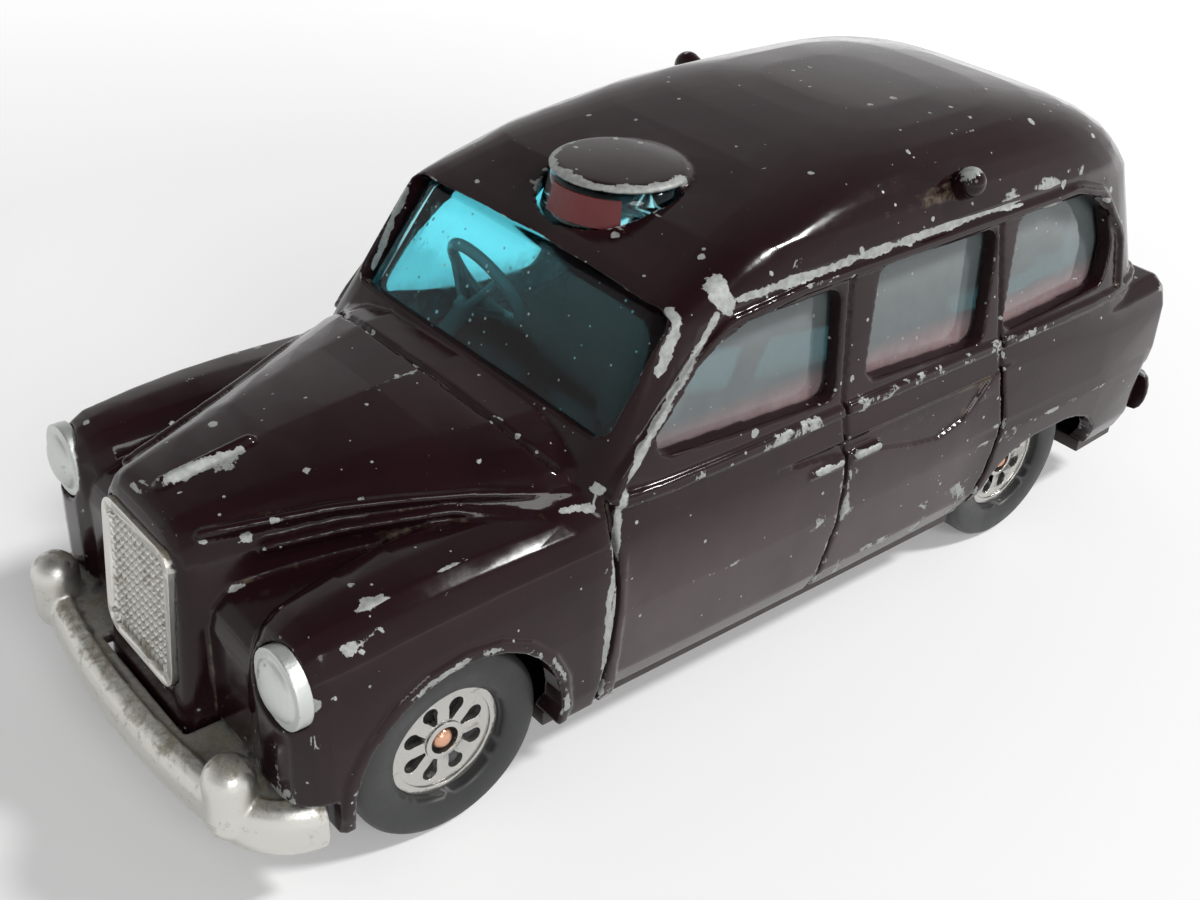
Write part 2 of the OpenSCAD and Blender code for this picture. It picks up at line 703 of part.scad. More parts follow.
// Body casting
module body_shell() {
    $fn = 20;
    color("#2b1a1e")
        difference() {
            body_outside();
            difference() {
                union() {
                    tub(-wall, 20);
                    cabin(-wall, cabin_square_inside);
                    bonnet(-wall, 16);
                }
                for (y = post_places)
                    translate([0, y, 0])
                        cylinder(d = post_d, h = y < 0 ? roof_h : post_h, $fn = 16);
                translate([-post_d / 4, post_places[1], 0])
                    cube([post_d / 2, post_d, post_h]);
            }
            door_joints();
            translate([-body_w, front_y, -sill_h])
                cube([2 * body_w, car_length, 2 * sill_h]);
            across() {
                side_window(front_window_shares);
                side_window(rear_window_shares);
                side_window(quarter_window_shares);
            }
            multmatrix([[1, 0, 0, 0], [0, 1, 0, 0], [0, -screen_slope, 1, screen_slope * screen_y], [0,
                0, 0, 1]])
                lengthways(nose_y, screen_y + wall * 3)
                    end_window(screen_shares);
            lengthways(along(boot_start_share), rear_y)
                end_window(back_window_shares);
            both_sides() {
                translate([wheel_back - wheel_play * 2, 0, 0])
                    rotate([90, 0, 90]) {
                        linear_extrude(body_w)
                            front_arch($fn = 32);
                        linear_extrude(half_w - well_skin - wheel_back + wheel_play * 2)
                            translate([rear_axle_y, axle_z])
                                circle(tyre_d / 2 + well_gap);
                        linear_extrude(body_w)
                            rear_arch();
                    }
                translate([lamp_gap / 2, lamp_y, lamp_h])
                    rotate([90, 0, 0])
                        cylinder(d = lamp_d + grille_gap * 4, h = wing_end_r + over, $fn = 24);
            }
            both_sides()
                translate([bumper_cut_x, front_y, 0])
                    cube([half_w, bumper_cut_y - front_y, bumper_h + bumper_face + flange_gap]);
            on_nose()
                translate([0, 0, -grille_t])
                    linear_extrude(grille_t + over)
                        polygon(round_rect(grille_w + 2 * grille_gap, grille_h + 2 * grille_gap, grille_r));
            for (y = post_places)
                translate([0, y, 0])
                    cylinder(d = rivet_hole_d, h = sill_h + rivet_len, $fn = 24);
            lens_space(label_t + glass_gap, $fn = 40);
        }
}

// Window moulding: one closed shell under the roof, open below
glass_low = belt_h - wall / 2;
glass_out = -wall - glass_gap;
module glazing() {
    outer = cabin_rings(glass_low, glass_out, cabin_square_inside, 40);
    inner = cabin_rings(glass_low, glass_out - glass_t, cabin_square_inside, 40);
    n = len(outer[0]);
    top = len(outer) - 1;
    base = n * len(outer);
    color("#2f8fa3", 0.6)
        polyhedron(
            points = concat([for (r = outer) each r], [for (r = inner) each r]),
            faces = concat(
                [for (k = [0 : top - 1], i = [0 : n - 1])
                    let (a = k * n + i, b = k * n + (i + 1) % n)
                    each [[a, b, b + n], [a, b + n, a + n],
                        [base + b, base + a, base + a + n], [base + b, base + a + n, base + b + n]]],
                [for (i = [0 : n - 1]) let (b = (i + 1) % n) each [[i, base + b, b], [i, base + i,
                    base + b]]],
                [[for (i = [0 : n - 1]) top * n + i]],
                [[for (i = [n - 1 : -1 : 0]) base + top * n + i]]));
}

// Lens of the roof sign, cut off below along the slope of the roof
module sign_lens() {
    color("#1d6f86")
        difference() {
            lens_space(0);
            translate([0, sign_y, lens_floor])
                rotate([lens_slope, 0, 0])
                    translate([-sign_d, -sign_d, -2 * sign_d])
                        cube(2 * sign_d);
            translate([-sign_d, sign_y - sign_d, lid_low - seat_gap])
                cube(2 * sign_d);
        }
}

// Plain label round the front of the lens
function lens_r_at(z) = lens_d / 2 + lens_taper * (lid_low - z);
module sign_label() {
    low = label_low;
    high = lid_low - label_top_gap;
    color("#8e2a2a")
        translate([0, sign_y, 0])
            rotate([0, 0, label_from - 90])
                rotate_extrude(angle = label_arc)
                    polygon([[lens_r_at(low) + seat_gap, low], [lens_r_at(low) + label_t, low],
                        [lens_r_at(high) + label_t, high], [lens_r_at(high) + seat_gap, high]]);
}

// Seat moulding on the base plate
tray_top = glass_low - seat_gap;
cab_lead = 1.696;
cab_front = along(screen_foot_share) + cab_lead;
tray_front = cab_front + tray_t;
seat_back_share = 0.3;
seat_back_h = belt_h + seat_back_share * cabin_h;
bench_before = 10.1;
bench_behind = 5.4;
bench_front = rear_axle_y - bench_before;
bench_rear = rear_axle_y + bench_behind;
bench_in = 2.6 * tray_t;
cab_len = 24.4;
partition_share = 0.2;
partition_y = cab_front + cab_len;
partition_h = belt_h + partition_share * cabin_h;
dash_y = 3.8;
dash_t = 2;
dash_up = 0.5;
dash_depth = 5.9;
dash_h = belt_h + dash_up;
dash_low = dash_h - dash_depth;
driver_w = 10;
driver_in = 2.6;
driver_len = 8.5;
// Steering wheel place and pose
steer_in = 6.6;
steer_back = 10.3;
steer_up = 4.12;
steer_tilt = 40;
column_d = 1.4;
column_len = 8;
spoke_d = 0.7;
hub_d = 1.8;
hub_dish = 3;
module at_column() {
    translate([steer_in - tray_w / 2, cab_front + steer_back, belt_h + steer_up])
        rotate([-(90 - steer_tilt), 0, 0])
            children();
}
module interior_tray() {
    color("#7d2526")
        difference() {
            union() {
                translate([-tray_w / 2, tray_front, sill_h])
                    cube([tray_w, bench_front + tray_t - tray_front, tray_t]);
                translate([-tray_w / 2, tray_front, sill_h])
                    cube([tray_w, tray_t, tray_top - sill_h]);
                both_sides() {
                    translate([tray_w / 2 - tray_t, tray_front, sill_h])
                        cube([tray_t, bench_front + tray_t - tray_front, tray_top - sill_h]);
                    translate([tray_w / 2 - tray_t, bench_front, seat_h - tray_t])
                        cube([tray_t, bench_rear - bench_front, tray_top - seat_h + tray_t]);
                }
                translate([-tray_w / 2, bench_front, sill_h])
                    cube([tray_w, tray_t, seat_h - sill_h]);
                translate([-tray_w / 2, bench_front, seat_h - tray_t])
                    cube([tray_w, bench_rear - bench_front, tray_t]);
                translate([-tray_w / 2 + bench_in, bench_rear - 2 * tray_t, seat_h - tray_t])
                    cube([tray_w - 2 * bench_in, 2 * tray_t, seat_back_h - seat_h + tray_t]);
                translate([-tray_w / 2 + bench_in, partition_y, sill_h])
                    cube([tray_w - 2 * bench_in, tray_t, partition_h - sill_h]);
                translate([-tray_w / 2 + driver_in, partition_y - driver_len, sill_h])
                    cube([driver_w, driver_len, seat_h - tray_t - sill_h]);
                translate([-tray_w / 2 + driver_in, partition_y - 2 * tray_t, sill_h])
                    cube([driver_w, 2 * tray_t, seat_back_h - tray_t - sill_h]);
                translate([-tray_w / 2 + bench_in, cab_front + dash_y - tray_t, dash_low])
                    cube([tray_w - 2 * bench_in, dash_t, dash_h - dash_low]);
                translate([-tray_w / 2 + bench_in, tray_front, dash_low])
                    cube([tray_w - 2 * bench_in, dash_y, tray_t]);
            }
            at_column()
                translate([0, 0, -column_len - hub_dish])
                    cylinder(d = column_d + 2 * axle_fit, h = column_len, $fn = 24);
        }
}

// Steering wheel and column in one piece
module steering_wheel() {
    color("#1d5560")
        at_column() {
            rotate_extrude()
                translate([steer_d / 2 - steer_rim / 2, 0])
                    circle(d = steer_rim, $fn = 16);
            translate([0, 0, -hub_dish])
                cylinder(d = hub_d, h = hub_d / 2, $fn = 24);
            translate([0, 0, -hub_dish - column_len + column_d])
                cylinder(d = column_d, h = column_len - column_d, $fn = 24);
            for (a = [90, 210, 330])
                rotate([0, 0, a])
                    translate([0, 0, -hub_dish + hub_d / 4])
                        rotate([0, 90 - atan((hub_dish - hub_d / 4) / (steer_d / 2 - steer_rim / 2)), 0])
                            cylinder(d = spoke_d, h = norm([hub_dish - hub_d / 4,
                                steer_d / 2 - steer_rim / 2]), $fn = 16);
        }
}

// Base plate with saddles for the axles
base_top = sill_h - seat_gap;
base_z = sill_h - base_t;
base_edge = half_w * (1 - ((waist_h - sill_h) / (waist_h - tub_low)) ^ tub_square_low) ^ (1 / tub_square_low);
base_shares = [0.035, 0.06, 0.1, 0.16, 0.25, 0.4, 0.6, 0.8, 0.9, 0.96, 0.983];
base_right = [for (s = base_shares) [base_edge * curve_at(tub_w_shares, s) - base_inset, along(s)]];
saddle_r = 2;
notch_x = wheel_back - wheel_play;
rear_notch = tyre_d / 2 + well_gap + rear_arch_offset + rear_arch_half;
module base_plate() {
    color("#33272a")
        difference() {
            union() {
                translate([0, 0, base_z])
                    linear_extrude(base_top - base_z)
                        polygon(concat(base_right, [for (i = [len(base_right) - 1 : -1 : 0])
                            [-base_right[i][0], base_right[i][1]]]));
                both_sides()
                    for (y = [front_axle_y, rear_axle_y])
                        translate([notch_x - saddle_t, y, 0]) {
                            translate([0, -saddle_r, base_z])
                                cube([saddle_t, 2 * saddle_r, axle_z - base_z]);
                            translate([0, 0, axle_z])
                                rotate([0, 90, 0])
                                    cylinder(r = saddle_r, h = saddle_t);
                        }
            }
            for (y = [front_axle_y, rear_axle_y]) {
                both_sides()
                    translate([notch_x, y - tyre_d / 2 - well_gap, 0])
                        cube([half_w, y > 0 ? rear_notch : tyre_d + 2 * well_gap, sill_h]);
                translate([-half_w, y, axle_z])
                    rotate([0, 90, 0])
                        cylinder(d = axle_d + 2 * axle_fit, h = body_w);
            }
            for (y = post_places)
                translate([0, y, 0]) {
                    cylinder(d = rivet_d + 2 * axle_fit, h = sill_h);
                    cylinder(d = rivet_head_d + 4 * axle_fit, h = base_z + rivet_recess);
                }
        }
}

// Rivets, with domed heads in recesses under the base plate
dome_parts = 6;
function dome_points(r, h) = [for (k = [0 : dome_parts]) let (a = 90 * k / dome_parts) [r * cos(a),
    h * sin(a)]];
module dome(r, h) {
    rotate_extrude()
        polygon(concat([[0, 0]], dome_points(r, h)));
}
module rivets() {
    color("#a9a59c")
        for (y = post_places)
            translate([0, y, base_z + rivet_recess - seat_gap]) {
                mirror([0, 0, 1])
                    dome(rivet_head_d / 2, rivet_head_t);
                cylinder(d = rivet_d, h = rivet_len);
            }
}

// Bumper bars, with a rounded face on a flat back
bar_parts = 8;
function bar_points(r, z) = [for (k = [0 : bar_parts]) let (a = 180 * k / bar_parts - 90)
    [r - bumper_t + bumper_t * cos(a) ^ bar_round, z + bumper_face / 2 * (1 + sin(a))]];
bar_round = 0.6;
bar_angle = asin((bumper_w / 2 - corner_r) / (bumper_r - corner_r));
corner_angle = 74;
flange_t = 0.9;
flange_top = bumper_h + bumper_face - bumper_t / 4;
tab_w = 14;
horn_x = 12.7;
horn_set = 1;
horn_low = 5;
flange_steps = 10;
function bumper_y(x, r) = front_y + bumper_r - sqrt(r * r - x * x);
nose_gap_y = nose_y + nose_lean * ((flange_top - flange_t) / nose_h - 1 / 2) - flange_gap;
function edge_end(corner) = corner[1] - (corner_r - bumper_t / 2) * cos(bar_angle + corner_angle);
module front_bumper() {
    flange_r = bumper_r - bumper_t / 2;
    corner = [(bumper_r - corner_r) * sin(bar_angle),
        front_y + bumper_r - (bumper_r - corner_r) * cos(bar_angle)];
    edge = concat(
        [for (k = [0 : flange_steps]) let (a = bar_angle * k / flange_steps)
            [flange_r * sin(a), front_y + bumper_r - flange_r * cos(a)]],
        [for (k = [1 : flange_steps]) let (a = bar_angle + corner_angle * k / flange_steps)
            corner + (corner_r - bumper_t / 2) * [sin(a), -cos(a)]],
        [[nose_w / 2 + flange_gap, edge_end(corner)], [nose_w / 2 + flange_gap, nose_gap_y]]);
    color("#8f8c84") {
        translate([0, front_y + bumper_r, 0]) {
            rotate([0, 0, -90 - bar_angle])
                rotate_extrude(angle = 2 * bar_angle, $fn = 180)
                    polygon(bar_points(bumper_r, bumper_h));
            both_sides()
                rotate([0, 0, bar_angle - 90])
                    translate([bumper_r - corner_r, 0, 0])
                        rotate_extrude(angle = corner_angle)
                            polygon(bar_points(corner_r, bumper_h));
        }
        translate([0, 0, flange_top - flange_t])
            linear_extrude(flange_t)
                polygon(concat(edge, [for (i = [len(edge) - 1 : -1 : 1]) [-edge[i][0], edge[i][1]]]));
        translate([-tab_w / 2, bumper_y(tab_w / 2, flange_r), bumper_h])
            cube([tab_w, base_right[0][1] - seat_gap - bumper_y(tab_w / 2, flange_r), base_top - bumper_h]);
        both_sides()
            translate([horn_x, bumper_y(horn_x, bumper_r) + horn_set, horn_low]) {
                translate([0, 0, horn_d / 2]) {
                    cylinder(d = horn_d, h = horn_h - horn_low - horn_d);
                    mirror([0, 0, 1])
                        dome(horn_d / 2, horn_d / 2);
                }
                translate([0, 0, horn_h - horn_low - horn_d / 2])
                    dome(horn_d / 2, horn_d / 2);
            }
    }
}
rear_bumper_h = 6.6;
rear_bumper_w = 35;
rear_back_y = rear_y - bumper_t;
module rear_bumper() {
    base_rear = base_right[len(base_right) - 1][1];
    color("#3a2a2c") {
        translate([-rear_bumper_w / 2 + bumper_t, rear_back_y, 0])
            rotate([90, 0, 90])
                linear_extrude(rear_bumper_w - 2 * bumper_t)
                    polygon(bar_points(bumper_t, rear_bumper_h));
        both_sides()
            translate([rear_bumper_w / 2 - bumper_t, rear_back_y, 0])
                rotate_extrude(angle = 90)
                    polygon(bar_points(bumper_t, rear_bumper_h));
        translate([-tab_w / 2, rear_back_y, bumper_h])
            cube([tab_w, bumper_t / 2, rear_bumper_h + bumper_face / 2 - bumper_h]);
        translate([-tab_w / 2, base_rear + seat_gap, bumper_h])
            cube([tab_w, rear_back_y + bumper_t / 2 - base_rear - seat_gap, base_top - bumper_h]);
    }
}

// Grille: a framed plate with a fine mesh of crossed grooves
grille_frame = 0.7;
grille_proud = 0.25;
mesh_cols = 12;
mesh_rows = 13;
mesh_w = 0.26;
mesh_depth = 0.3;
module grille() {
    inner_w = grille_w - 2 * grille_frame;
    inner_h = grille_h - 2 * grille_frame;
    color("#b5b3aa")
        on_nose()
            difference() {
                translate([0, 0, seat_gap - grille_t])
                    linear_extrude(grille_t + grille_proud - seat_gap)
                        polygon(round_rect(grille_w, grille_h, grille_r));
                linear_extrude(grille_t)
                    polygon(round_rect(inner_w, inner_h, grille_r - grille_frame));
                for (k = [1 : mesh_cols])
                    translate([inner_w * (k / (mesh_cols + 1) - 1 / 2) - mesh_w / 2, -inner_h / 2,
                        -mesh_depth])
                        cube([mesh_w, inner_h, grille_t]);
                for (k = [1 : mesh_rows])
                    translate([-inner_w / 2, inner_h * (k / (mesh_rows + 1) - 1 / 2) - mesh_w / 2,
                        -mesh_depth])
                        cube([inner_w, mesh_w, grille_t]);
            }
}

// Headlamps: a rim with a domed lens
lamp_rim_t = 1;
lamp_rim_w = 0.5;
lamp_dome_h = 1;
module headlamp(side) {
    color("#c4c3bd")
        translate([side * lamp_gap / 2, lamp_y - seat_gap, lamp_h])
            rotate([90, 0, 0])
                rotate_extrude()
                    polygon(concat([[0, 0], [lamp_d / 2, 0], [lamp_d / 2, lamp_rim_t],
                        [lamp_d / 2 - lamp_rim_w, lamp_rim_t]],
                        [for (p = dome_points(lamp_d / 2 - lamp_rim_w, lamp_dome_h)) [p[0],
                            p[1] + lamp_rim_t - lamp_rim_w / 2]]));
}
module headlamp_left() headlamp(1);
module headlamp_right() headlamp(-1);

// Axles: wire with a domed head at each end
axle_half = wheel_face - trim_seat + wheel_play;
axle_head_t = 0.6;
module axle(y) {
    color("#a56f4c")
        translate([0, y, axle_z]) {
            translate([-axle_half, 0, 0])
                rotate([0, 90, 0])
                    cylinder(d = axle_d, h = 2 * axle_half);
            both_sides()
                translate([axle_half, 0, 0])
                    rotate([0, 90, 0])
                        dome(axle_head_d / 2, axle_head_t);
        }
}
module front_axle() axle(front_axle_y);
module rear_axle() axle(rear_axle_y);

// Wheels: a plastic tyre with a seat for the trim, hollow behind
tyre_edge = 0.8;
tyre_edge_parts = 4;
tyre_hollow_w = 2;
tyre_hub_d = 4;
tyre_wall = 1.5;
module tyre(side, y) {
    color("#16171a")
        translate([0, y, axle_z])
            mirror([side < 0 ? 1 : 0, 0, 0])
                rotate([0, 90, 0])
                    rotate_extrude($fn = 64)
                        polygon(concat(
                            [[axle_d / 2 + axle_fit, wheel_back], [tyre_hub_d / 2, wheel_back],
                             [tyre_hub_d / 2, wheel_back + tyre_hollow_w],
                             [tyre_d / 2 - tyre_wall, wheel_back + tyre_hollow_w],
                                 [tyre_d / 2 - tyre_wall, wheel_back]],
                            [for (k = [0 : tyre_edge_parts]) let (a = 90 * k / tyre_edge_parts)
                                [tyre_d / 2 - tyre_edge * (1 - sin(a)),
                                    wheel_back + tyre_edge * (1 - cos(a))]],
                            [for (k = [0 : tyre_edge_parts]) let (a = 90 * k / tyre_edge_parts)
                                [tyre_d / 2 - tyre_edge * (1 - cos(a)),
                                    wheel_face - tyre_edge * (1 - sin(a))]],
                            [[trim_d / 2 + axle_fit + tyre_edge / 2, wheel_face], [trim_d / 2 + axle_fit,
                                wheel_face - tyre_edge / 2],
                             [trim_d / 2 + axle_fit, wheel_face - trim_seat],
                             [axle_d / 2 + axle_fit, wheel_face - trim_seat]]));
}
module tyre_front_left() tyre(1, front_axle_y);
module tyre_front_right() tyre(-1, front_axle_y);
module tyre_rear_left() tyre(1, rear_axle_y);
module tyre_rear_right() tyre(-1, rear_axle_y);

// Trims: a plated disc with drop-shaped holes, a rim and a centre boss
trim_rim = 0.55;
trim_dish = 0.2;
trim_hole_d = 2.1;
drop_r = 0.58;
drop_share = 0.63;
drop_tip_share = 0.36;
boss_d = 2.9;
module trim(side, y) {
    color("#d3d2ce")
        translate([0, y, axle_z])
            mirror([side < 0 ? 1 : 0, 0, 0])
                translate([wheel_face - trim_seat + seat_gap, 0, 0])
                    rotate([0, 90, 0])
                        difference() {
                            cylinder(d = trim_d, h = trim_t);
                            translate([0, 0, trim_t - trim_dish])
                                difference() {
                                    cylinder(d = trim_d - 2 * trim_rim, h = trim_t);
                                    cylinder(d = boss_d, h = trim_t);
                                }
                            translate([0, 0, -trim_t])
                                cylinder(d = trim_hole_d, h = 3 * trim_t);
                            for (k = [0 : trim_holes - 1])
                                rotate([0, 0, 360 * (k + 1 / 2) / trim_holes])
                                    translate([0, 0, -trim_t])
                                        linear_extrude(3 * trim_t) {
                                            translate([drop_share * trim_d / 2, 0])
                                                circle(drop_r, $fn = 24);
                                            polygon([[drop_share * trim_d / 2, drop_r],
                                                [drop_tip_share * trim_d / 2, drop_r / 4],
                                                [drop_tip_share * trim_d / 2, -drop_r / 4],
                                                [drop_share * trim_d / 2, -drop_r]]);
                                        }
                        }
}
module wheel_trim_front_left() trim(1, front_axle_y);
module wheel_trim_front_right() trim(-1, front_axle_y);
module wheel_trim_rear_left() trim(1, rear_axle_y);
module wheel_trim_rear_right() trim(-1, rear_axle_y);

body_shell();
glazing();
sign_lens();
sign_label();
interior_tray();
steering_wheel();
base_plate();
rivets();
front_bumper();
rear_bumper();
grille();
headlamp_left();
headlamp_right();
front_axle();
rear_axle();
tyre_front_left();
tyre_front_right();
tyre_rear_left();
tyre_rear_right();
wheel_trim_front_left();
wheel_trim_front_right();
wheel_trim_rear_left();
wheel_trim_rear_right();
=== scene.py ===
# %% [markdown]
# # A die-cast toy taxi, dressed in Blender
#
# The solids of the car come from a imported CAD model, so every size and place is already right. This
# lesson copies those solids, gives the copies the soft edges of a painted casting, and builds the
# finishes: chipped maroon paint, tinted windows, worn plating, black plastic tyres. The CAD nodes stay
# behind the copies as the frame that carries the motion, and they are never edited.

# %% Load the frame
import math

import bpy
import numpy as np
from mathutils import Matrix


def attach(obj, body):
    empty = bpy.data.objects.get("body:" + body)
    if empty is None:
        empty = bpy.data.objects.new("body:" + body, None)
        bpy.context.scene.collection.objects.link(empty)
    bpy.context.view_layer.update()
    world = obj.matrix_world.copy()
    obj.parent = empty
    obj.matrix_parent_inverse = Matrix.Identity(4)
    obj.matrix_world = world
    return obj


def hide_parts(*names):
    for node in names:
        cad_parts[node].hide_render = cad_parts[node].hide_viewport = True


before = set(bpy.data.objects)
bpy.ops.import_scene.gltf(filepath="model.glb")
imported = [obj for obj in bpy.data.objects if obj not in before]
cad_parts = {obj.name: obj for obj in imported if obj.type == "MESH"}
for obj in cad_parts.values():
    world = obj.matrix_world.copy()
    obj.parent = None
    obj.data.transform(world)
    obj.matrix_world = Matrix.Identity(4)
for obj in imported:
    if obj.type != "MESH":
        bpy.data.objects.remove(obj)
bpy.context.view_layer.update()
MM = 0.001

# %% [markdown]
# ## The camera
#
# The picture is taken from the front left, well above the bonnet. The lens and the three turns were
# found by matching wheel centres, lamps and window corners in the photograph, so the model lands on the
# same pixels.

# %% Camera
CAMERA_PLACE = (74.84, -74.84, 76.02)
CAMERA_TURN = (57.787, -3.755, 49.897)
CAMERA_LENS = 44.71
SENSOR_WIDTH = 36

bpy.ops.object.select_all(action="DESELECT")
bpy.ops.object.camera_add(
    location=[v * MM for v in CAMERA_PLACE],
    rotation=[math.radians(v) for v in CAMERA_TURN],
)
camera = bpy.context.object
camera.name = "photo_camera"
camera.data.sensor_width = SENSOR_WIDTH
camera.data.lens = CAMERA_LENS
camera.data.clip_start = 1 * MM
bpy.context.scene.camera = camera
print("camera", camera.name, "lens", camera.data.lens)

# %% [markdown]
# ## Helpers for node materials
#
# A material is a small graph. These helpers keep the graphs readable. `put` adds a node and fills its
# sockets, where a value may be a number, a colour or another node's output. `ramp` turns a grey pattern
# into a mask between two thresholds, and `band` does the same for a place in millimetres.


# %% Node helpers
def new_material(name):
    material = bpy.data.materials.new(name)
    material.use_nodes = True
    tree = material.node_tree
    shader = tree.nodes["Principled BSDF"]
    return material, tree, shader


def fill(tree, socket, value):
    if isinstance(value, bpy.types.NodeSocket):
        tree.links.new(value, socket)
    else:
        socket.default_value = value


def put(tree, kind, inputs=None, **settings):
    node = tree.nodes.new(kind)
    for key, value in settings.items():
        setattr(node, key, value)
    for key, value in (inputs or {}).items():
        fill(tree, node.inputs[key], value)
    return node


def object_place(tree):
    return put(tree, "ShaderNodeTexCoord").outputs["Object"]


def axes(tree, vector):
    return put(tree, "ShaderNodeSeparateXYZ", {"Vector": vector}).outputs


def noise(tree, size_mm, detail=3.0, roughness=0.5, distortion=0.0):
    inputs = {
        "Vector": object_place(tree),
        "Scale": 1 / (size_mm * MM),
        "Detail": detail,
        "Roughness": roughness,
        "Distortion": distortion,
    }
    return put(tree, "ShaderNodeTexNoise", inputs).outputs["Fac"]


def ramp(tree, value, low, high, to_low=0.0, to_high=1.0):
    inputs = {"Value": value, "From Min": low, "From Max": high, "To Min": to_low, "To Max": to_high}
    return put(tree, "ShaderNodeMapRange", inputs, clamp=True).outputs["Result"]


def band(tree, value, ends_mm, to_low=0.0, to_high=1.0):
    return ramp(tree, value, ends_mm[0] * MM, ends_mm[1] * MM, to_low, to_high)


def math_node(tree, operation, first, second=0.0, clamp=False):
    node = put(tree, "ShaderNodeMath", operation=operation, use_clamp=clamp)
    fill(tree, node.inputs[0], first)
    fill(tree, node.inputs[1], second)
    return node.outputs[0]


def product(tree, *values):
    result = values[0]
    for value in values[1:]:
        result = math_node(tree, "MULTIPLY", result, value)
    return result


def highest(tree, *values):
    result = values[0]
    for value in values[1:]:
        result = math_node(tree, "MAXIMUM", result, value)
    return result


def mix_colour(tree, share, first, second):
    node = put(tree, "ShaderNodeMix", data_type="RGBA")
    fill(tree, node.inputs["Factor"], share)
    fill(tree, node.inputs[6], first)
    fill(tree, node.inputs[7], second)
    return node.outputs[2]


def bump(tree, height, depth_mm, strength=1.0):
    inputs = {"Height": height, "Distance": depth_mm * MM, "Strength": strength}
    return put(tree, "ShaderNodeBump", inputs).outputs["Normal"]


def attribute(tree, name):
    return put(tree, "ShaderNodeAttribute", attribute_name=name).outputs["Fac"]


print("helpers ready")

# %% [markdown]
# ## The stage
#
# The car stands on clean white ground with only a soft grey shadow. A wide floor takes the shadow. Rays
# from the camera, from gloss and from glass see extra white on it, more with distance, so the ground
# reads as white while the lamps stay at a plain level. The room is bright at the horizon and dark
# overhead, which keeps the roof and bonnet dark. One small lamp behind the near side draws narrow
# lights along the beads, and a larger one fills the doors.

# %% Floor
FLOOR_SIZE = 4.0
FLOOR_GREY = (0.8, 0.8, 0.8, 1)
FLOOR_LIFT = 0.17
FADE_START = 0.1
FADE_END = 0.5

bpy.ops.object.select_all(action="DESELECT")
bpy.ops.mesh.primitive_plane_add(size=FLOOR_SIZE, location=(0, 0, 0))
floor = bpy.context.object
floor.name = "floor"
floor_finish, tree, shader = new_material("pale_floor")
shader.inputs["Base Color"].default_value = FLOOR_GREY
shader.inputs["Roughness"].default_value = 0.9
shader.inputs["Specular IOR Level"].default_value = 0.0
seen = put(tree, "ShaderNodeLightPath")
straight = math_node(tree, "ADD", seen.outputs["Is Camera Ray"], seen.outputs["Is Glossy Ray"])
straight = math_node(tree, "ADD", straight, seen.outputs["Is Transmission Ray"], clamp=True)
shader.inputs["Emission Color"].default_value = (1, 1, 1, 1)
spot = put(tree, "ShaderNodeVectorMath", operation="LENGTH")
fill(tree, spot.inputs[0], object_place(tree))
glow = ramp(tree, spot.outputs["Value"], FADE_START, FADE_END, FLOOR_LIFT, 1.0)
fill(tree, shader.inputs["Emission Strength"], math_node(tree, "MULTIPLY", straight, glow))
floor.data.materials.append(floor_finish)
print("floor", FLOOR_SIZE, "m wide")

# %% World and lamps
HORIZON_LIGHT = 0.95
ZENITH_LIGHT = 0.06
KEY_PLACE = (0.38, 0.45, 0.68)
FILL_PLACE = (0.75, -0.15, 0.45)
LAMP_TARGET = (0, 0, 0.02)

world = bpy.data.worlds.new("white_studio")
bpy.context.scene.world = world
world.use_nodes = True
tree = world.node_tree
background = tree.nodes["Background"]
background.inputs["Color"].default_value = (1, 1, 1, 1)
seen = put(tree, "ShaderNodeLightPath")
straight = seen.outputs["Is Camera Ray"]
straight = math_node(tree, "ADD", straight, seen.outputs["Is Transmission Ray"], clamp=True)
upward = axes(tree, put(tree, "ShaderNodeTexCoord").outputs["Generated"])["Z"]
room = ramp(tree, upward, 0, 1, HORIZON_LIGHT, ZENITH_LIGHT)
fill(tree, background.inputs["Strength"], math_node(tree, "MAXIMUM", straight, room))


def soft_lamp(name, place, size, watts):
    bpy.ops.object.select_all(action="DESELECT")
    bpy.ops.object.light_add(type="AREA", location=place)
    lamp = bpy.context.object
    lamp.name = name
    lamp.data.shape = "DISK"
    lamp.data.size = size
    lamp.data.energy = watts
    aim = lamp.location.copy()
    for axis in range(3):
        aim[axis] = LAMP_TARGET[axis] - place[axis]
    lamp.rotation_euler = aim.to_track_quat("-Z", "Y").to_euler()
    print(name, "size", size, "watts", watts)


soft_lamp("key_lamp", KEY_PLACE, size=0.13, watts=5.2)
soft_lamp("fill_lamp", FILL_PLACE, size=0.35, watts=2.2)
bpy.context.scene.view_settings.view_transform = "Standard"
print("stage set")

# %% [markdown]
# ## Copying a CAD node
#
# A CAD node arrives as loose triangles. `copy_node` duplicates it, merges the corners, and shades faces
# smooth unless they meet at a real edge. `round_edges` then puts a small bevel on those edges, because
# no cast, moulded or plated edge is perfectly sharp, and the bevel is what catches the light.

# %% Copy helpers
MERGE_GAP = 0.002
FLAT_ANGLE = 2


def select_only(piece):
    bpy.ops.object.select_all(action="DESELECT")
    piece.select_set(True)
    bpy.context.view_layer.objects.active = piece


def copy_node(node, name, smooth_angle=32):
    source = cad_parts[node]
    piece = source.copy()
    piece.data = source.data.copy()
    piece.parent = None
    piece.name = name
    piece.data.materials.clear()
    bpy.context.scene.collection.objects.link(piece)
    select_only(piece)
    bpy.ops.object.mode_set(mode="EDIT")
    bpy.ops.mesh.select_all(action="SELECT")
    bpy.ops.mesh.remove_doubles(threshold=MERGE_GAP * MM)
    bpy.ops.object.mode_set(mode="OBJECT")
    bpy.ops.object.shade_smooth_by_angle(angle=math.radians(smooth_angle))
    return piece


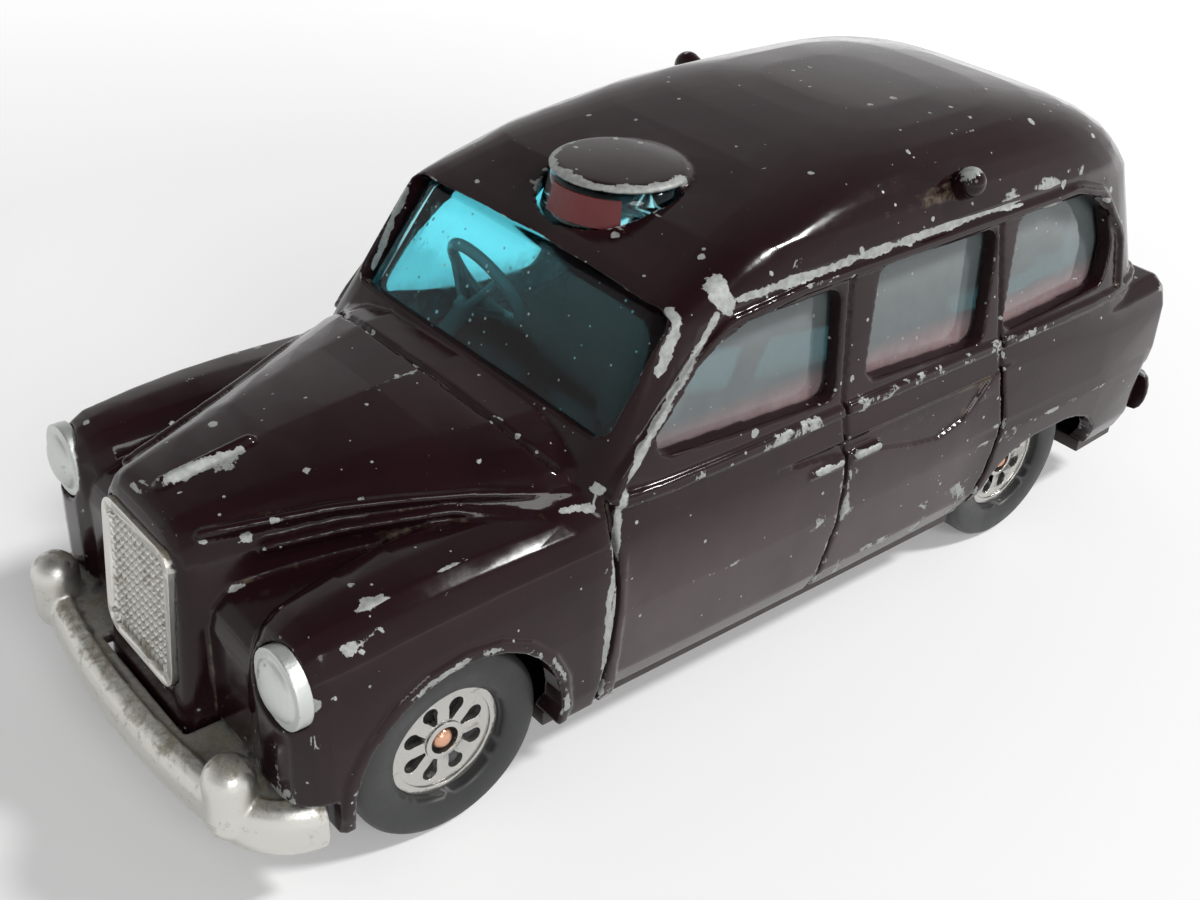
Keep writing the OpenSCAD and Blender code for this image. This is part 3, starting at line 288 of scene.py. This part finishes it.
def apply_modifier(piece, kind, **settings):
    select_only(piece)
    bpy.ops.object.modifier_add(type=kind)
    modifier = piece.modifiers[-1]
    for key, value in settings.items():
        setattr(modifier, key, value)
    bpy.ops.object.modifier_apply(modifier=modifier.name)


def round_edges(piece, width_mm, segments=2, angle=40):
    select_only(piece)
    bpy.ops.object.mode_set(mode="EDIT")
    bpy.ops.mesh.select_all(action="SELECT")
    bpy.ops.mesh.dissolve_limited(angle_limit=math.radians(FLAT_ANGLE))
    bpy.ops.object.mode_set(mode="OBJECT")
    apply_modifier(
        piece, "BEVEL", width=width_mm * MM, segments=segments, limit_method="ANGLE",
        angle_limit=math.radians(angle), use_clamp_overlap=True,
    )
    select_only(piece)
    bpy.ops.object.shade_smooth_by_angle(angle=math.radians(angle))


def finish_piece(piece, material, slot, body, *nodes):
    piece.data.materials.clear()
    piece.data.materials.append(material)
    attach(piece, body)
    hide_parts(*nodes)
    print(piece.name, "faces:", len(piece.data.polygons))


# %% [markdown]
# ## The body casting
#
# The real body is one zinc casting under thick paint, so no edge on it is crisp. Remeshing the copied
# solid into small even cells and relaxing them gives just that: panels stay true, while lips, beads and
# shut lines turn soft. Afterwards each point learns how much it stands proud of its surroundings. Paint
# wears off proud points first and dirt settles in hollow ones, so this one number drives both. Last,
# the shading of the broad panels is evened out, so that lights run over the roof and wings as they do
# on a smooth casting, while beads and lips, where the surface turns quickly, keep their own shading.

# %% Body mesh
BODY_CELL = 0.15
BODY_FACES = 190000


def soften(piece, cell_mm, rounds, most_faces):
    apply_modifier(piece, "REMESH", mode="VOXEL", voxel_size=cell_mm * MM, use_smooth_shade=True)
    apply_modifier(piece, "SMOOTH", factor=0.5, iterations=rounds)
    apply_modifier(piece, "TRIANGULATE")
    cells = len(piece.data.polygons)
    apply_modifier(piece, "DECIMATE", ratio=min(1.0, most_faces / cells))
    select_only(piece)
    bpy.ops.object.shade_smooth()
    print(piece.name, "cells:", cells, "kept:", len(piece.data.polygons))


body = copy_node("body_shell", "painted_body")
soften(body, BODY_CELL, 6, BODY_FACES)


# %% Proud and hollow points
def points_of(mesh):
    flat = np.empty(len(mesh.vertices) * 3, dtype=np.float64)
    mesh.vertices.foreach_get("co", flat)
    return flat.reshape(-1, 3)


def normals_of(mesh):
    flat = np.empty(len(mesh.vertices) * 3, dtype=np.float64)
    mesh.vertices.foreach_get("normal", flat)
    return flat.reshape(-1, 3)


def relaxed(mesh, values, rounds):
    pairs = np.empty(len(mesh.edges) * 2, dtype=np.int64)
    mesh.edges.foreach_get("vertices", pairs)
    a, b = pairs.reshape(-1, 2).T
    size = len(mesh.vertices)
    links = np.maximum(np.bincount(a, minlength=size) + np.bincount(b, minlength=size), 1)
    for _ in range(rounds):
        total = np.zeros_like(values)
        for column in range(values.shape[1]):
            total[:, column] += np.bincount(a, weights=values[b, column], minlength=size)
            total[:, column] += np.bincount(b, weights=values[a, column], minlength=size)
        values = 0.5 * values + 0.5 * total / links[:, None]
    return values


def store(mesh, name, values):
    layer = mesh.attributes.new(name, "FLOAT", "POINT")
    layer.data.foreach_set("value", values.astype(np.float32))


def mark_proud(piece, rounds, full_mm):
    mesh = piece.data
    points = points_of(mesh)
    lift = ((points - relaxed(mesh, points, rounds)) * normals_of(mesh)).sum(axis=1)
    lift = relaxed(mesh, lift[:, None], 2)[:, 0] / (full_mm * MM)
    store(mesh, "proud", np.clip(0.5 + 0.5 * lift, 0, 1))
    return lift


lift = mark_proud(body, 14, 0.12)
print("proud share:", round(float((lift > 0.5).mean()), 3))
print("hollow share:", round(float((lift < -0.5).mean()), 3))

# %% Even shading
CRISP_LOSS = (0.004, 0.014)
CRISP_SPREAD = 2.5


def even_shading(piece, passes):
    mesh = piece.data
    normals = normals_of(mesh)
    loss = 1 - np.linalg.norm(relaxed(mesh, normals, 3), axis=1)
    crisp = np.clip((loss - CRISP_LOSS[0]) / (CRISP_LOSS[1] - CRISP_LOSS[0]), 0, 1)
    crisp = np.clip(CRISP_SPREAD * relaxed(mesh, crisp[:, None], 3), 0, 1)
    evened = normals
    for _ in range(passes):
        evened = crisp * normals + (1 - crisp) * relaxed(mesh, evened, 4)
        evened = evened / np.linalg.norm(evened, axis=1)[:, None]
    mesh.normals_split_custom_set_from_vertices(evened)
    return crisp


crisp = even_shading(body, 20)
print("crisp share:", round(float(crisp.mean()), 3))

# %% [markdown]
# ## Where the paint is gone
#
# Some bare patches are not chance: the bonnet rib, the drip rail, the windscreen corner, the rim of the
# sign, the lip of the front arch. Each is written as a short line on the body with a reach in
# millimetres, read off the photograph. A point of the mesh remembers how near it is to the
# closest line, and the paint breaks up there.

# %% Bare patches
PATCH_SPREAD = 1.5
BARE_LINES = [
    ((0.3, -42.5, 23.4), (0.6, -38.0, 23.7), 0.8),
    ((-1.7, -44.6, 22.1), (-1.1, -44.2, 22.5), 0.9),
    ((6.7, -39.2, 22.5), (6.9, -39.0, 22.5), 0.6),
    ((6.1, -40.8, 21.4), (6.2, -40.6, 21.4), 0.6),
    ((6.6, -42.0, 18.4), (6.7, -41.6, 18.4), 0.7),
    ((17.4, -27.9, 18.4), (17.4, -27.5, 18.4), 0.8),
    ((15.3, -38.5, 20.8), (15.5, -37.0, 20.8), 0.8),
    # This line on the near wing's crown is partly chipped paint and partly a painted highlight streak
    # in bare-metal grey.
    ((16.6, -40.6, 19.2), (16.7, -37.5, 19.5), 0.6),
    ((17.3, -40.8, 17.2), (17.3, -40.6, 17.2), 0.7),
    ((17.0, -43.1, 13.8), (17.0, -42.8, 13.9), 0.9),
    ((15.7, -42.9, 15.1), (16.9, -42.6, 16.7), 0.9),
    ((14.4, -10.2, 33.8), (15.1, -9.9, 33.0), 1.2),
    ((13.8, -13.8, 32.9), (14.8, -14.0, 32.3), 0.55),
    ((14.8, -14.0, 32.3), (15.2, -15.6, 29.4), 0.65),
    ((15.2, -9.0, 32.9), (15.2, 19.0, 33.2), 0.5),
    ((15.2, 19.0, 33.2), (15.8, 34.0, 30.6), 0.4),
    ((18.1, -1.2, 17.9), (18.1, 1.4, 17.9), 0.5),
    ((18.1, 3.5, 17.9), (18.1, 5.6, 17.9), 0.5),
    ((15.8, -21.3, 21.5), (15.0, -23.1, 21.5), 0.55),
    ((15.8, -20.5, 22.6), (15.6, -20.7, 22.6), 0.7),
    ((-14.5, -15.2, 31.3), (-14.6, -18.0, 25.7), 0.55),
]


def nearness(points, start, end, reach):
    start = np.array(start) * MM
    along = np.array(end) * MM - start
    share = np.clip((points - start) @ along / (along @ along), 0, 1)
    gap = np.linalg.norm(points - start - share[:, None] * along, axis=1)
    return np.clip(1 - gap / (PATCH_SPREAD * reach * MM), 0, 1)


def mark_bare(piece, lines):
    points = points_of(piece.data)
    near = np.zeros(len(points))
    for start, end, reach in lines:
        near = np.maximum(near, nearness(points, start, end, reach))
    store(piece.data, "bare", near)
    return near


# %% Worn rims
ARC_STEP = 10
SIGN_CENTRE = (0.0, -6.56, 36.75)
SIGN_RADIUS = 5.15
SIGN_ARC = range(-170, 20, ARC_STEP)
SIGN_REACH = 1.05
ARCH_CENTRE = (17.8, -32.4, 7.2)
ARCH_RADIUS = 8.5
ARCH_ARC = range(0, 120, ARC_STEP)
ARCH_REACH = 0.42


def on_sign_rim(degrees):
    turn = math.radians(degrees)
    x, y, z = SIGN_CENTRE
    return (x + SIGN_RADIUS * math.cos(turn), y + SIGN_RADIUS * math.sin(turn), z)


def on_arch(degrees):
    turn = math.radians(degrees)
    x, y, z = ARCH_CENTRE
    return (x, y + ARCH_RADIUS * math.cos(turn), z + ARCH_RADIUS * math.sin(turn))


rim_lines = [(on_sign_rim(a), on_sign_rim(a + ARC_STEP), SIGN_REACH) for a in SIGN_ARC]
arch_lines = [(on_arch(a), on_arch(a + ARC_STEP), ARCH_REACH) for a in ARCH_ARC]
near = mark_bare(body, BARE_LINES + rim_lines + arch_lines)
print("points near bare patches:", int((near > 0.5).sum()))

# %% [markdown]
# ## Chipped paint
#
# Dark maroon gloss over grey metal. Where proud points meet a broken noise the paint is gone, with
# ragged edges, and two cell patterns scatter small specks over every panel. A worn line follows the
# front edge of the near door. The chips sit a little lower than the paint, dusty brown dirt collects in
# the hollows, and the lower doors are scuffed paler than the rest.

# %% Worn line
DOOR_EDGE = [
    (15.3, -11.0, 32.2),
    (15.6, -12.9, 30.3),
    (16.55, -17.9, 24.9),
    (17.0, -19.75, 21.5),
    (17.15, -20.05, 18.6),
    (17.85, -20.65, 14.9),
    (17.4, -20.55, 6.4),
]
DOOR_EDGE_WIDTH = 0.32
LINE_WOBBLE = (-0.16, 0.2)
LINE_CORE_SHARE = 0.8


def vector_node(tree, operation, first, second=(0, 0, 0), out="Vector"):
    node = put(tree, "ShaderNodeVectorMath", operation=operation)
    fill(tree, node.inputs[0], first)
    fill(tree, node.inputs[1], second)
    return node.outputs[out]


def gap_to_line(tree, place, start, end):
    start = [v * MM for v in start]
    along = [b * MM - a for a, b in zip(start, end)]
    size = sum(v * v for v in along)
    offset = vector_node(tree, "SUBTRACT", place, start)
    share = vector_node(tree, "DOT_PRODUCT", offset, [v / size for v in along], "Value")
    share = math_node(tree, "MULTIPLY", share, 1.0, clamp=True)
    foot = put(tree, "ShaderNodeVectorMath", operation="SCALE")
    foot.inputs[0].default_value = along
    fill(tree, foot.inputs["Scale"], share)
    return vector_node(tree, "DISTANCE", offset, foot.outputs["Vector"], "Value")


def worn_line(tree, points, width_mm, wobble):
    place = object_place(tree)
    gap = None
    for start, end in zip(points, points[1:]):
        piece_gap = gap_to_line(tree, place, start, end)
        gap = piece_gap if gap is None else math_node(tree, "MINIMUM", gap, piece_gap)
    gap = math_node(tree, "SUBTRACT", gap, ramp(tree, wobble, 0.3, 0.7, *[v * MM for v in LINE_WOBBLE]))
    return band(tree, gap, (width_mm, LINE_CORE_SHARE * width_mm))


print("door edge corners:", len(DOOR_EDGE))

# %% Body paint
PAINT = (0.0120, 0.0042, 0.0052, 1)
PAINT_WARM = (0.018, 0.0058, 0.0070, 1)
SCUFFED = (0.090, 0.069, 0.069, 1)
METAL = (0.40, 0.415, 0.40, 1)
METAL_DARK = (0.26, 0.265, 0.26, 1)
DUST = (0.16, 0.125, 0.085, 1)
SCUFF_SIDE = (16, 17)
SCUFF_HEIGHT = (19, 13)
SCUFF_FRONT = (-22, -19)
SCUFF_BACK = (21, 17)
SPECK_CELL = 1.7
DOT_CELL = 0.8


def cell_pattern(tree, size_mm, channel):
    inputs = {"Vector": object_place(tree), "Scale": 1 / (size_mm * MM)}
    cells = put(tree, "ShaderNodeTexVoronoi", inputs).outputs
    chance = put(tree, "ShaderNodeSeparateColor", {"Color": cells["Color"]}).outputs[channel]
    return cells["Distance"], chance


def chipped_paint(name, paint, paint_warm, edge_wear, specks):
    material, tree, shader = new_material(name)
    proud = attribute(tree, "proud")
    broken = noise(tree, 2.4, 5, 0.65, 0.4)
    ragged = noise(tree, 0.55, 4, 0.6)
    edge = math_node(tree, "ADD", proud, ramp(tree, broken, 0.3, 0.7, -0.2, 0.2))
    edge = math_node(tree, "ADD", edge, ramp(tree, ragged, 0.3, 0.7, -0.06, 0.06))
    edge = ramp(tree, edge, edge_wear, edge_wear + 0.035)
    patch = math_node(tree, "ADD", attribute(tree, "bare"), ramp(tree, broken, 0.32, 0.68, -0.34, 0.16))
    patch = math_node(tree, "ADD", patch, ramp(tree, ragged, 0.3, 0.7, -0.1, 0.1))
    wobble = noise(tree, 1.1, 4, 0.6)
    line = worn_line(tree, DOOR_EDGE, DOOR_EDGE_WIDTH, wobble)
    gap, chance = cell_pattern(tree, SPECK_CELL, "Red")
    gap = math_node(tree, "ADD", gap, ramp(tree, ragged, 0.2, 0.8, -0.1, 0.1))
    reach = ramp(tree, chance, 1 - specks, 1.0, 0.0, 0.2)
    speck = ramp(tree, math_node(tree, "SUBTRACT", reach, gap), -0.02, 0.0)
    gap, chance = cell_pattern(tree, DOT_CELL, "Green")
    reach = ramp(tree, chance, 1 - specks * 0.45, 1.0, 0.0, 0.17)
    dots = ramp(tree, math_node(tree, "SUBTRACT", reach, gap), -0.03, 0.0)
    chips = highest(tree, edge, ramp(tree, patch, 0.5, 0.54), line, speck, dots)
    hollow = math_node(tree, "ADD", proud, ramp(tree, broken, 0.3, 0.7, -0.12, 0.12))
    hollow = ramp(tree, hollow, 0.22, 0.02)
    dirt = product(tree, hollow, ramp(tree, noise(tree, 1.1, 5, 0.7), 0.42, 0.68, 0, 0.85))
    film = ramp(tree, noise(tree, 9, 4, 0.6), 0.35, 0.75)
    colour = mix_colour(tree, film, paint, paint_warm)
    place = axes(tree, object_place(tree))
    scuff = product(
        tree,
        band(tree, math_node(tree, "ABSOLUTE", place["X"]), SCUFF_SIDE),
        band(tree, place["Z"], SCUFF_HEIGHT, 0.1, 0.8),
        band(tree, place["Y"], SCUFF_FRONT, 0.1, 1.0),
        band(tree, place["Y"], SCUFF_BACK, 0.1, 1.0),
        ramp(tree, film, 0, 1, 0.6, 1.0),
    )
    colour = mix_colour(tree, scuff, colour, SCUFFED)
    colour = mix_colour(tree, dirt, colour, DUST)
    bare = mix_colour(tree, ramp(tree, ragged, 0.35, 0.65), METAL, METAL_DARK)
    colour = mix_colour(tree, chips, colour, bare)
    fill(tree, shader.inputs["Base Color"], colour)
    fill(tree, shader.inputs["Metallic"], ramp(tree, chips, 0, 1, 0, 0.35))
    dull = highest(tree, chips, dirt)
    gloss = ramp(tree, noise(tree, 3.5, 6, 0.7), 0.3, 0.8, 0.08, 0.2)
    rough = put(tree, "ShaderNodeMix", {"Factor": dull, 2: gloss, 3: 0.55}, data_type="FLOAT")
    fill(tree, shader.inputs["Roughness"], rough.outputs[0])
    shader.inputs["Specular IOR Level"].default_value = 0.25
    ripple = product(tree, noise(tree, 1.6, 3, 0.5), 0.25)
    height = math_node(tree, "SUBTRACT", ripple, chips)
    fill(tree, shader.inputs["Normal"], bump(tree, height, 0.05, 0.7))
    return material


body_paint = chipped_paint("maroon_paint", PAINT, PAINT_WARM, 1.03, 0.3)
finish_piece(body, body_paint, "body_paint", "car", "body_shell")

# %% [markdown]
# ## Roof lamps
#
# Two small round lamps stand out from the roof's shoulders. The casting has a low boss for each. Here a
# sphere the size of the lamp is set at the outer end, and its roof half is pushed back on to the boss,
# so that it becomes a short rounded stalk. The near lamp has lost most of the paint on its top.

# %% Roof lamps
LAMP_RADIUS = 1.15
LAMP_PLACE = (15.3, 14.4, 36.2)
LAMP_FOOT = (-1.5, 0.5, -1.0)
LAMP_BARE_RUN = 0.4


def roof_lamp(name, side, bare_reach):
    bpy.ops.object.select_all(action="DESELECT")
    centre = [side * LAMP_PLACE[0] * MM, LAMP_PLACE[1] * MM, LAMP_PLACE[2] * MM]
    bpy.ops.mesh.primitive_uv_sphere_add(
        segments=32, ring_count=20, radius=LAMP_RADIUS * MM, location=centre,
    )
    piece = bpy.context.object
    piece.name = name
    bpy.ops.object.transform_apply(location=True, rotation=True, scale=True)
    foot = np.array([side * LAMP_FOOT[0], LAMP_FOOT[1], LAMP_FOOT[2]]) * MM
    inward = (points_of(piece.data) - np.array(centre)) @ foot > 0
    bpy.ops.object.mode_set(mode="EDIT")
    bpy.ops.mesh.select_all(action="DESELECT")
    bpy.ops.object.mode_set(mode="OBJECT")
    piece.data.vertices.foreach_set("select", inward)
    bpy.ops.object.mode_set(mode="EDIT")
    bpy.ops.transform.translate(value=tuple(foot))
    bpy.ops.object.mode_set(mode="OBJECT")
    bpy.ops.object.shade_smooth()
    tip = [side * LAMP_PLACE[0], LAMP_PLACE[1], LAMP_PLACE[2] + LAMP_RADIUS]
    mark_proud(piece, 4, 0.5)
    mark_bare(piece, [(tip, [tip[0], tip[1] - LAMP_BARE_RUN, tip[2]], bare_reach)])
    return piece


for side, label, bare_reach in ((1, "left", 1.3), (-1, "right", 0.3)):
    lamp = roof_lamp("roof_lamp_" + label, side, bare_reach)
    lamp.data.materials.append(body_paint)
    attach(lamp, "car")
    print(lamp.name, "faces:", len(lamp.data.polygons))

# %% [markdown]
# ## Tinted windows
#
# All windows of the real toy are one clear blue moulding pressed up inside the roof. The CAD shell has
# that form already, so the copy only needs smooth shading. The near windows carry a grey film that is
# partly dust and partly painted sheen, turning to a painted pink at the sill for the red seats behind,
# the near half of the lower windscreen carries a painted dark red shade of the interior, a pale grime
# band lies along the bottom of the windows, and dust specks lie all over.

# %% Window material
TINT = (0.33, 0.80, 0.87, 1)
# The grey film colour below is partly dust and partly painted sheen on the near windows, and the pink
# one is a painted look of the red seats behind the sill.
NEAR_DUST_AND_SHEEN = (0.14, 0.16, 0.164, 1)
PAINTED_SEAT_PINK = (0.36, 0.20, 0.21, 1)
# The next colour is a painted dark red shade on the lower windscreen, standing in for the shaded
# interior seen through it.
SCREEN_PAINTED_SHADE = (0.070, 0.030, 0.030, 1)
PALE_DUST = (0.42, 0.42, 0.4, 1)
SILL_HEIGHT = (22.4, 25.0)
NEAR_SIDE = (0, 5)
GRIME_HEIGHT = (24.5, 22.8)
SCREEN_AHEAD = (-8, -12)
SCREEN_HEIGHT = (31, 26)
SCREEN_ACROSS = (-8, 0)
DUST_CELL = 0.9


def tinted_plastic(name, tint, side_dust_and_sheen, screen_shade_share, speck_share):
    material, tree, shader = new_material(name)
    place = axes(tree, object_place(tree))
    face = axes(tree, put(tree, "ShaderNodeNewGeometry").outputs["Normal"])
    cloud = ramp(tree, noise(tree, 3.0, 5, 0.65), 0.25, 0.75, 0.85, 1.05)
    # Painted sheen, partly dust: a grey film on the near windows, turning to painted pink at the sill
    # where the red seats show behind.
    side = product(tree, ramp(tree, face["X"], 0.6, 0.85), band(tree, place["X"], NEAR_SIDE))
    film = product(tree, side, side_dust_and_sheen, cloud)
    sheen_and_seat_colour = mix_colour(tree, band(tree, place["Z"], SILL_HEIGHT), PAINTED_SEAT_PINK, NEAR_DUST_AND_SHEEN)
    grime = ramp(tree, noise(tree, 1.2, 6, 0.75), 0.35, 0.7, 0, 0.5)
    grime = product(tree, band(tree, place["Z"], GRIME_HEIGHT), grime)
    gap, chance = cell_pattern(tree, DUST_CELL, "Red")
    reach = ramp(tree, chance, 1 - speck_share, 1.0, 0.0, 0.16)
    dust = ramp(tree, math_node(tree, "SUBTRACT", reach, gap), -0.03, 0.0, 0.0, 0.7)
    # Painted shade: the lower near windscreen is darkened to a dark red that stands in for the shaded
    # interior.
    screen_shade = product(
        tree,
        ramp(tree, face["Y"], -0.25, -0.5),
        screen_shade_share,
        band(tree, place["Z"], SCREEN_HEIGHT),
        band(tree, place["X"], SCREEN_ACROSS),
        band(tree, place["Y"], SCREEN_AHEAD),
    )
    spot = highest(tree, grime, dust)
    dull = highest(tree, film, spot)
    cover = math_node(tree, "MULTIPLY", film, 1.6, clamp=True)
    colour = mix_colour(tree, cover, tint, sheen_and_seat_colour)
    colour = mix_colour(tree, screen_shade, colour, SCREEN_PAINTED_SHADE)
    fill(tree, shader.inputs["Base Color"], mix_colour(tree, spot, colour, PALE_DUST))
    fill(tree, shader.inputs["Transmission Weight"], math_node(tree, "SUBTRACT", 1.0, dull))
    shader.inputs["IOR"].default_value = 1.4
    haze = noise(tree, 2.2, 6, 0.7)
    fill(tree, shader.inputs["Roughness"], ramp(tree, haze, 0.4, 0.75, 0.02, 0.12))
    return material


window_tint = tinted_plastic("blue_window_plastic", TINT, 0.8, 0.75, 0.45)
lens_tint = tinted_plastic("blue_lens_plastic", TINT, 0.0, 0.0, 0.1)
glazing = copy_node("glazing", "window_moulding", 40)
finish_piece(glazing, window_tint, "tinted_window", "car", "glazing")
lens = copy_node("sign_lens", "roof_sign_lens", 40)
finish_piece(lens, lens_tint, "tinted_window", "car", "sign_lens")

# %% [markdown]
# ## Moulded and plated pieces
#
# The seats, label, tyres and base are plain moulded or painted pieces with a fine grain. The front
# bumper, lamps and grille are plated, worn and stained, most of all on top. The wheel trims are bright,
# the axle ends are copper, and the rear bumper is painted with the body.

# %% Plain finishes
GRAIN_SIZE = 0.35
GRAIN_DEPTH = 0.01


def moulded(name, colour, shade, rough):
    material, tree, shader = new_material(name)
    cloud = ramp(tree, noise(tree, 4, 5, 0.65), 0.3, 0.7)
    fill(tree, shader.inputs["Base Color"], mix_colour(tree, cloud, colour, shade))
    wear = noise(tree, 1.5, 5, 0.7)
    fill(tree, shader.inputs["Roughness"], ramp(tree, wear, 0.3, 0.7, rough - 0.08, rough + 0.1))
    fill(tree, shader.inputs["Normal"], bump(tree, noise(tree, GRAIN_SIZE, 3), GRAIN_DEPTH, 0.6))
    return material


def plated(name, colour, dirt_colour, dirt_low, dirt_high, rough, top_dirt=0.0):
    material, tree, shader = new_material(name)
    stain = noise(tree, 1.9, 7, 0.72, 0.3)
    fine = noise(tree, 0.45, 4, 0.7)
    upward = axes(tree, put(tree, "ShaderNodeNewGeometry").outputs["Normal"])["Z"]
    cover = math_node(tree, "ADD", stain, ramp(tree, upward, 0.2, 0.9, -top_dirt, top_dirt))
    cover = math_node(tree, "ADD", cover, ramp(tree, fine, 0.3, 0.7, -0.08, 0.08))
    dirt = ramp(tree, cover, dirt_low, dirt_high)
    fill(tree, shader.inputs["Base Color"], mix_colour(tree, dirt, colour, dirt_colour))
    fill(tree, shader.inputs["Metallic"], ramp(tree, dirt, 0, 1, 0.95, 0.15))
    fill(tree, shader.inputs["Roughness"], ramp(tree, dirt, 0, 1, rough, 0.7))
    fill(tree, shader.inputs["Normal"], bump(tree, math_node(tree, "ADD", stain, fine), 0.05, 0.5))
    return material


seat_red = moulded("red_seat_plastic", (0.22, 0.014, 0.018, 1), (0.16, 0.012, 0.014, 1), 0.4)
label_red = moulded("red_label", (0.16, 0.016, 0.018, 1), (0.11, 0.012, 0.014, 1), 0.45)
steer_dark = moulded("steering_plastic", (0.16, 0.16, 0.162, 1), (0.2, 0.2, 0.202, 1), 0.18)
tyre_black = moulded("black_tyre_plastic", (0.018, 0.0185, 0.019, 1), (0.027, 0.0275, 0.028, 1), 0.42)
base_dark = moulded("base_paint", (0.022, 0.012, 0.013, 1), (0.03, 0.02, 0.02, 1), 0.4)
worn_plate = plated(
    "worn_bright_plate", (0.66, 0.65, 0.61, 1), (0.28, 0.25, 0.195, 1), 0.5, 0.7, 0.36, top_dirt=0.09,
)
lamp_silver = plated("dull_lamp_silver", (0.60, 0.62, 0.60, 1), (0.13, 0.12, 0.10, 1), 0.62, 0.74, 0.48)
trim_plate = plated("bright_trim_plate", (0.56, 0.55, 0.52, 1), (0.16, 0.14, 0.11, 1), 0.60, 0.75, 0.18)
bare_metal = plated("dull_cast_metal", (0.45, 0.44, 0.42, 1), (0.2, 0.18, 0.15, 1), 0.5, 0.7, 0.42)
axle_copper = plated("copper_axle", (0.75, 0.42, 0.28, 1), (0.2, 0.11, 0.07, 1), 0.58, 0.72, 0.28)
print("finishes ready")

# %% Inside and base
seats = copy_node("interior_tray", "seat_moulding")
round_edges(seats, 0.3, 3)
finish_piece(seats, seat_red, "seat_red", "car", "interior_tray")
steering = copy_node("steering_wheel", "steering_wheel_and_column")
finish_piece(steering, steer_dark, "steer_plastic", "car", "steering_wheel")
base = copy_node("base_plate", "riveted_base")
round_edges(base, 0.12)
finish_piece(base, base_dark, "base_paint", "car", "base_plate")
rivet_pair = copy_node("rivets", "base_rivets")
finish_piece(rivet_pair, bare_metal, "bare_metal", "car", "rivets")
label = copy_node("sign_label", "sign_label_band")
finish_piece(label, label_red, "label_red", "car", "sign_label")

# %% Bumpers, grille and lamps
front_bumper = copy_node("front_bumper", "front_bumper_bar")
soften(front_bumper, 0.14, 5, 60000)
finish_piece(front_bumper, worn_plate, "bright_metal", "car", "front_bumper")
rear_bumper = copy_node("rear_bumper", "rear_bumper_bar")
round_edges(rear_bumper, 0.25, 3)
mark_proud(rear_bumper, 3, 0.2)
finish_piece(rear_bumper, body_paint, "body_paint", "car", "rear_bumper")
grille = copy_node("grille", "grille_face")
finish_piece(grille, worn_plate, "bright_metal", "car", "grille")
for side in ("left", "right"):
    lamp = copy_node("headlamp_" + side, "lamp_" + side)
    soften(lamp, 0.08, 5, 20000)
    finish_piece(lamp, lamp_silver, "bright_metal", "car", "headlamp_" + side)

# %% Axles and wheels
for end in ("front", "rear"):
    axle = copy_node(end + "_axle", end + "_axle_wire")
    finish_piece(axle, axle_copper, "axle_wire", "car", end + "_axle")
    for side in ("left", "right"):
        corner = end + "_" + side
        tyre = copy_node("tyre_" + corner, "tyre_piece_" + corner)
        finish_piece(tyre, tyre_black, "wheel_plastic", "wheel_" + corner, "tyre_" + corner)
        trim = copy_node("wheel_trim_" + corner, "trim_piece_" + corner)
        round_edges(trim, 0.08)
        finish_piece(trim, trim_plate, "plated_trim", "wheel_" + corner, "wheel_trim_" + corner)
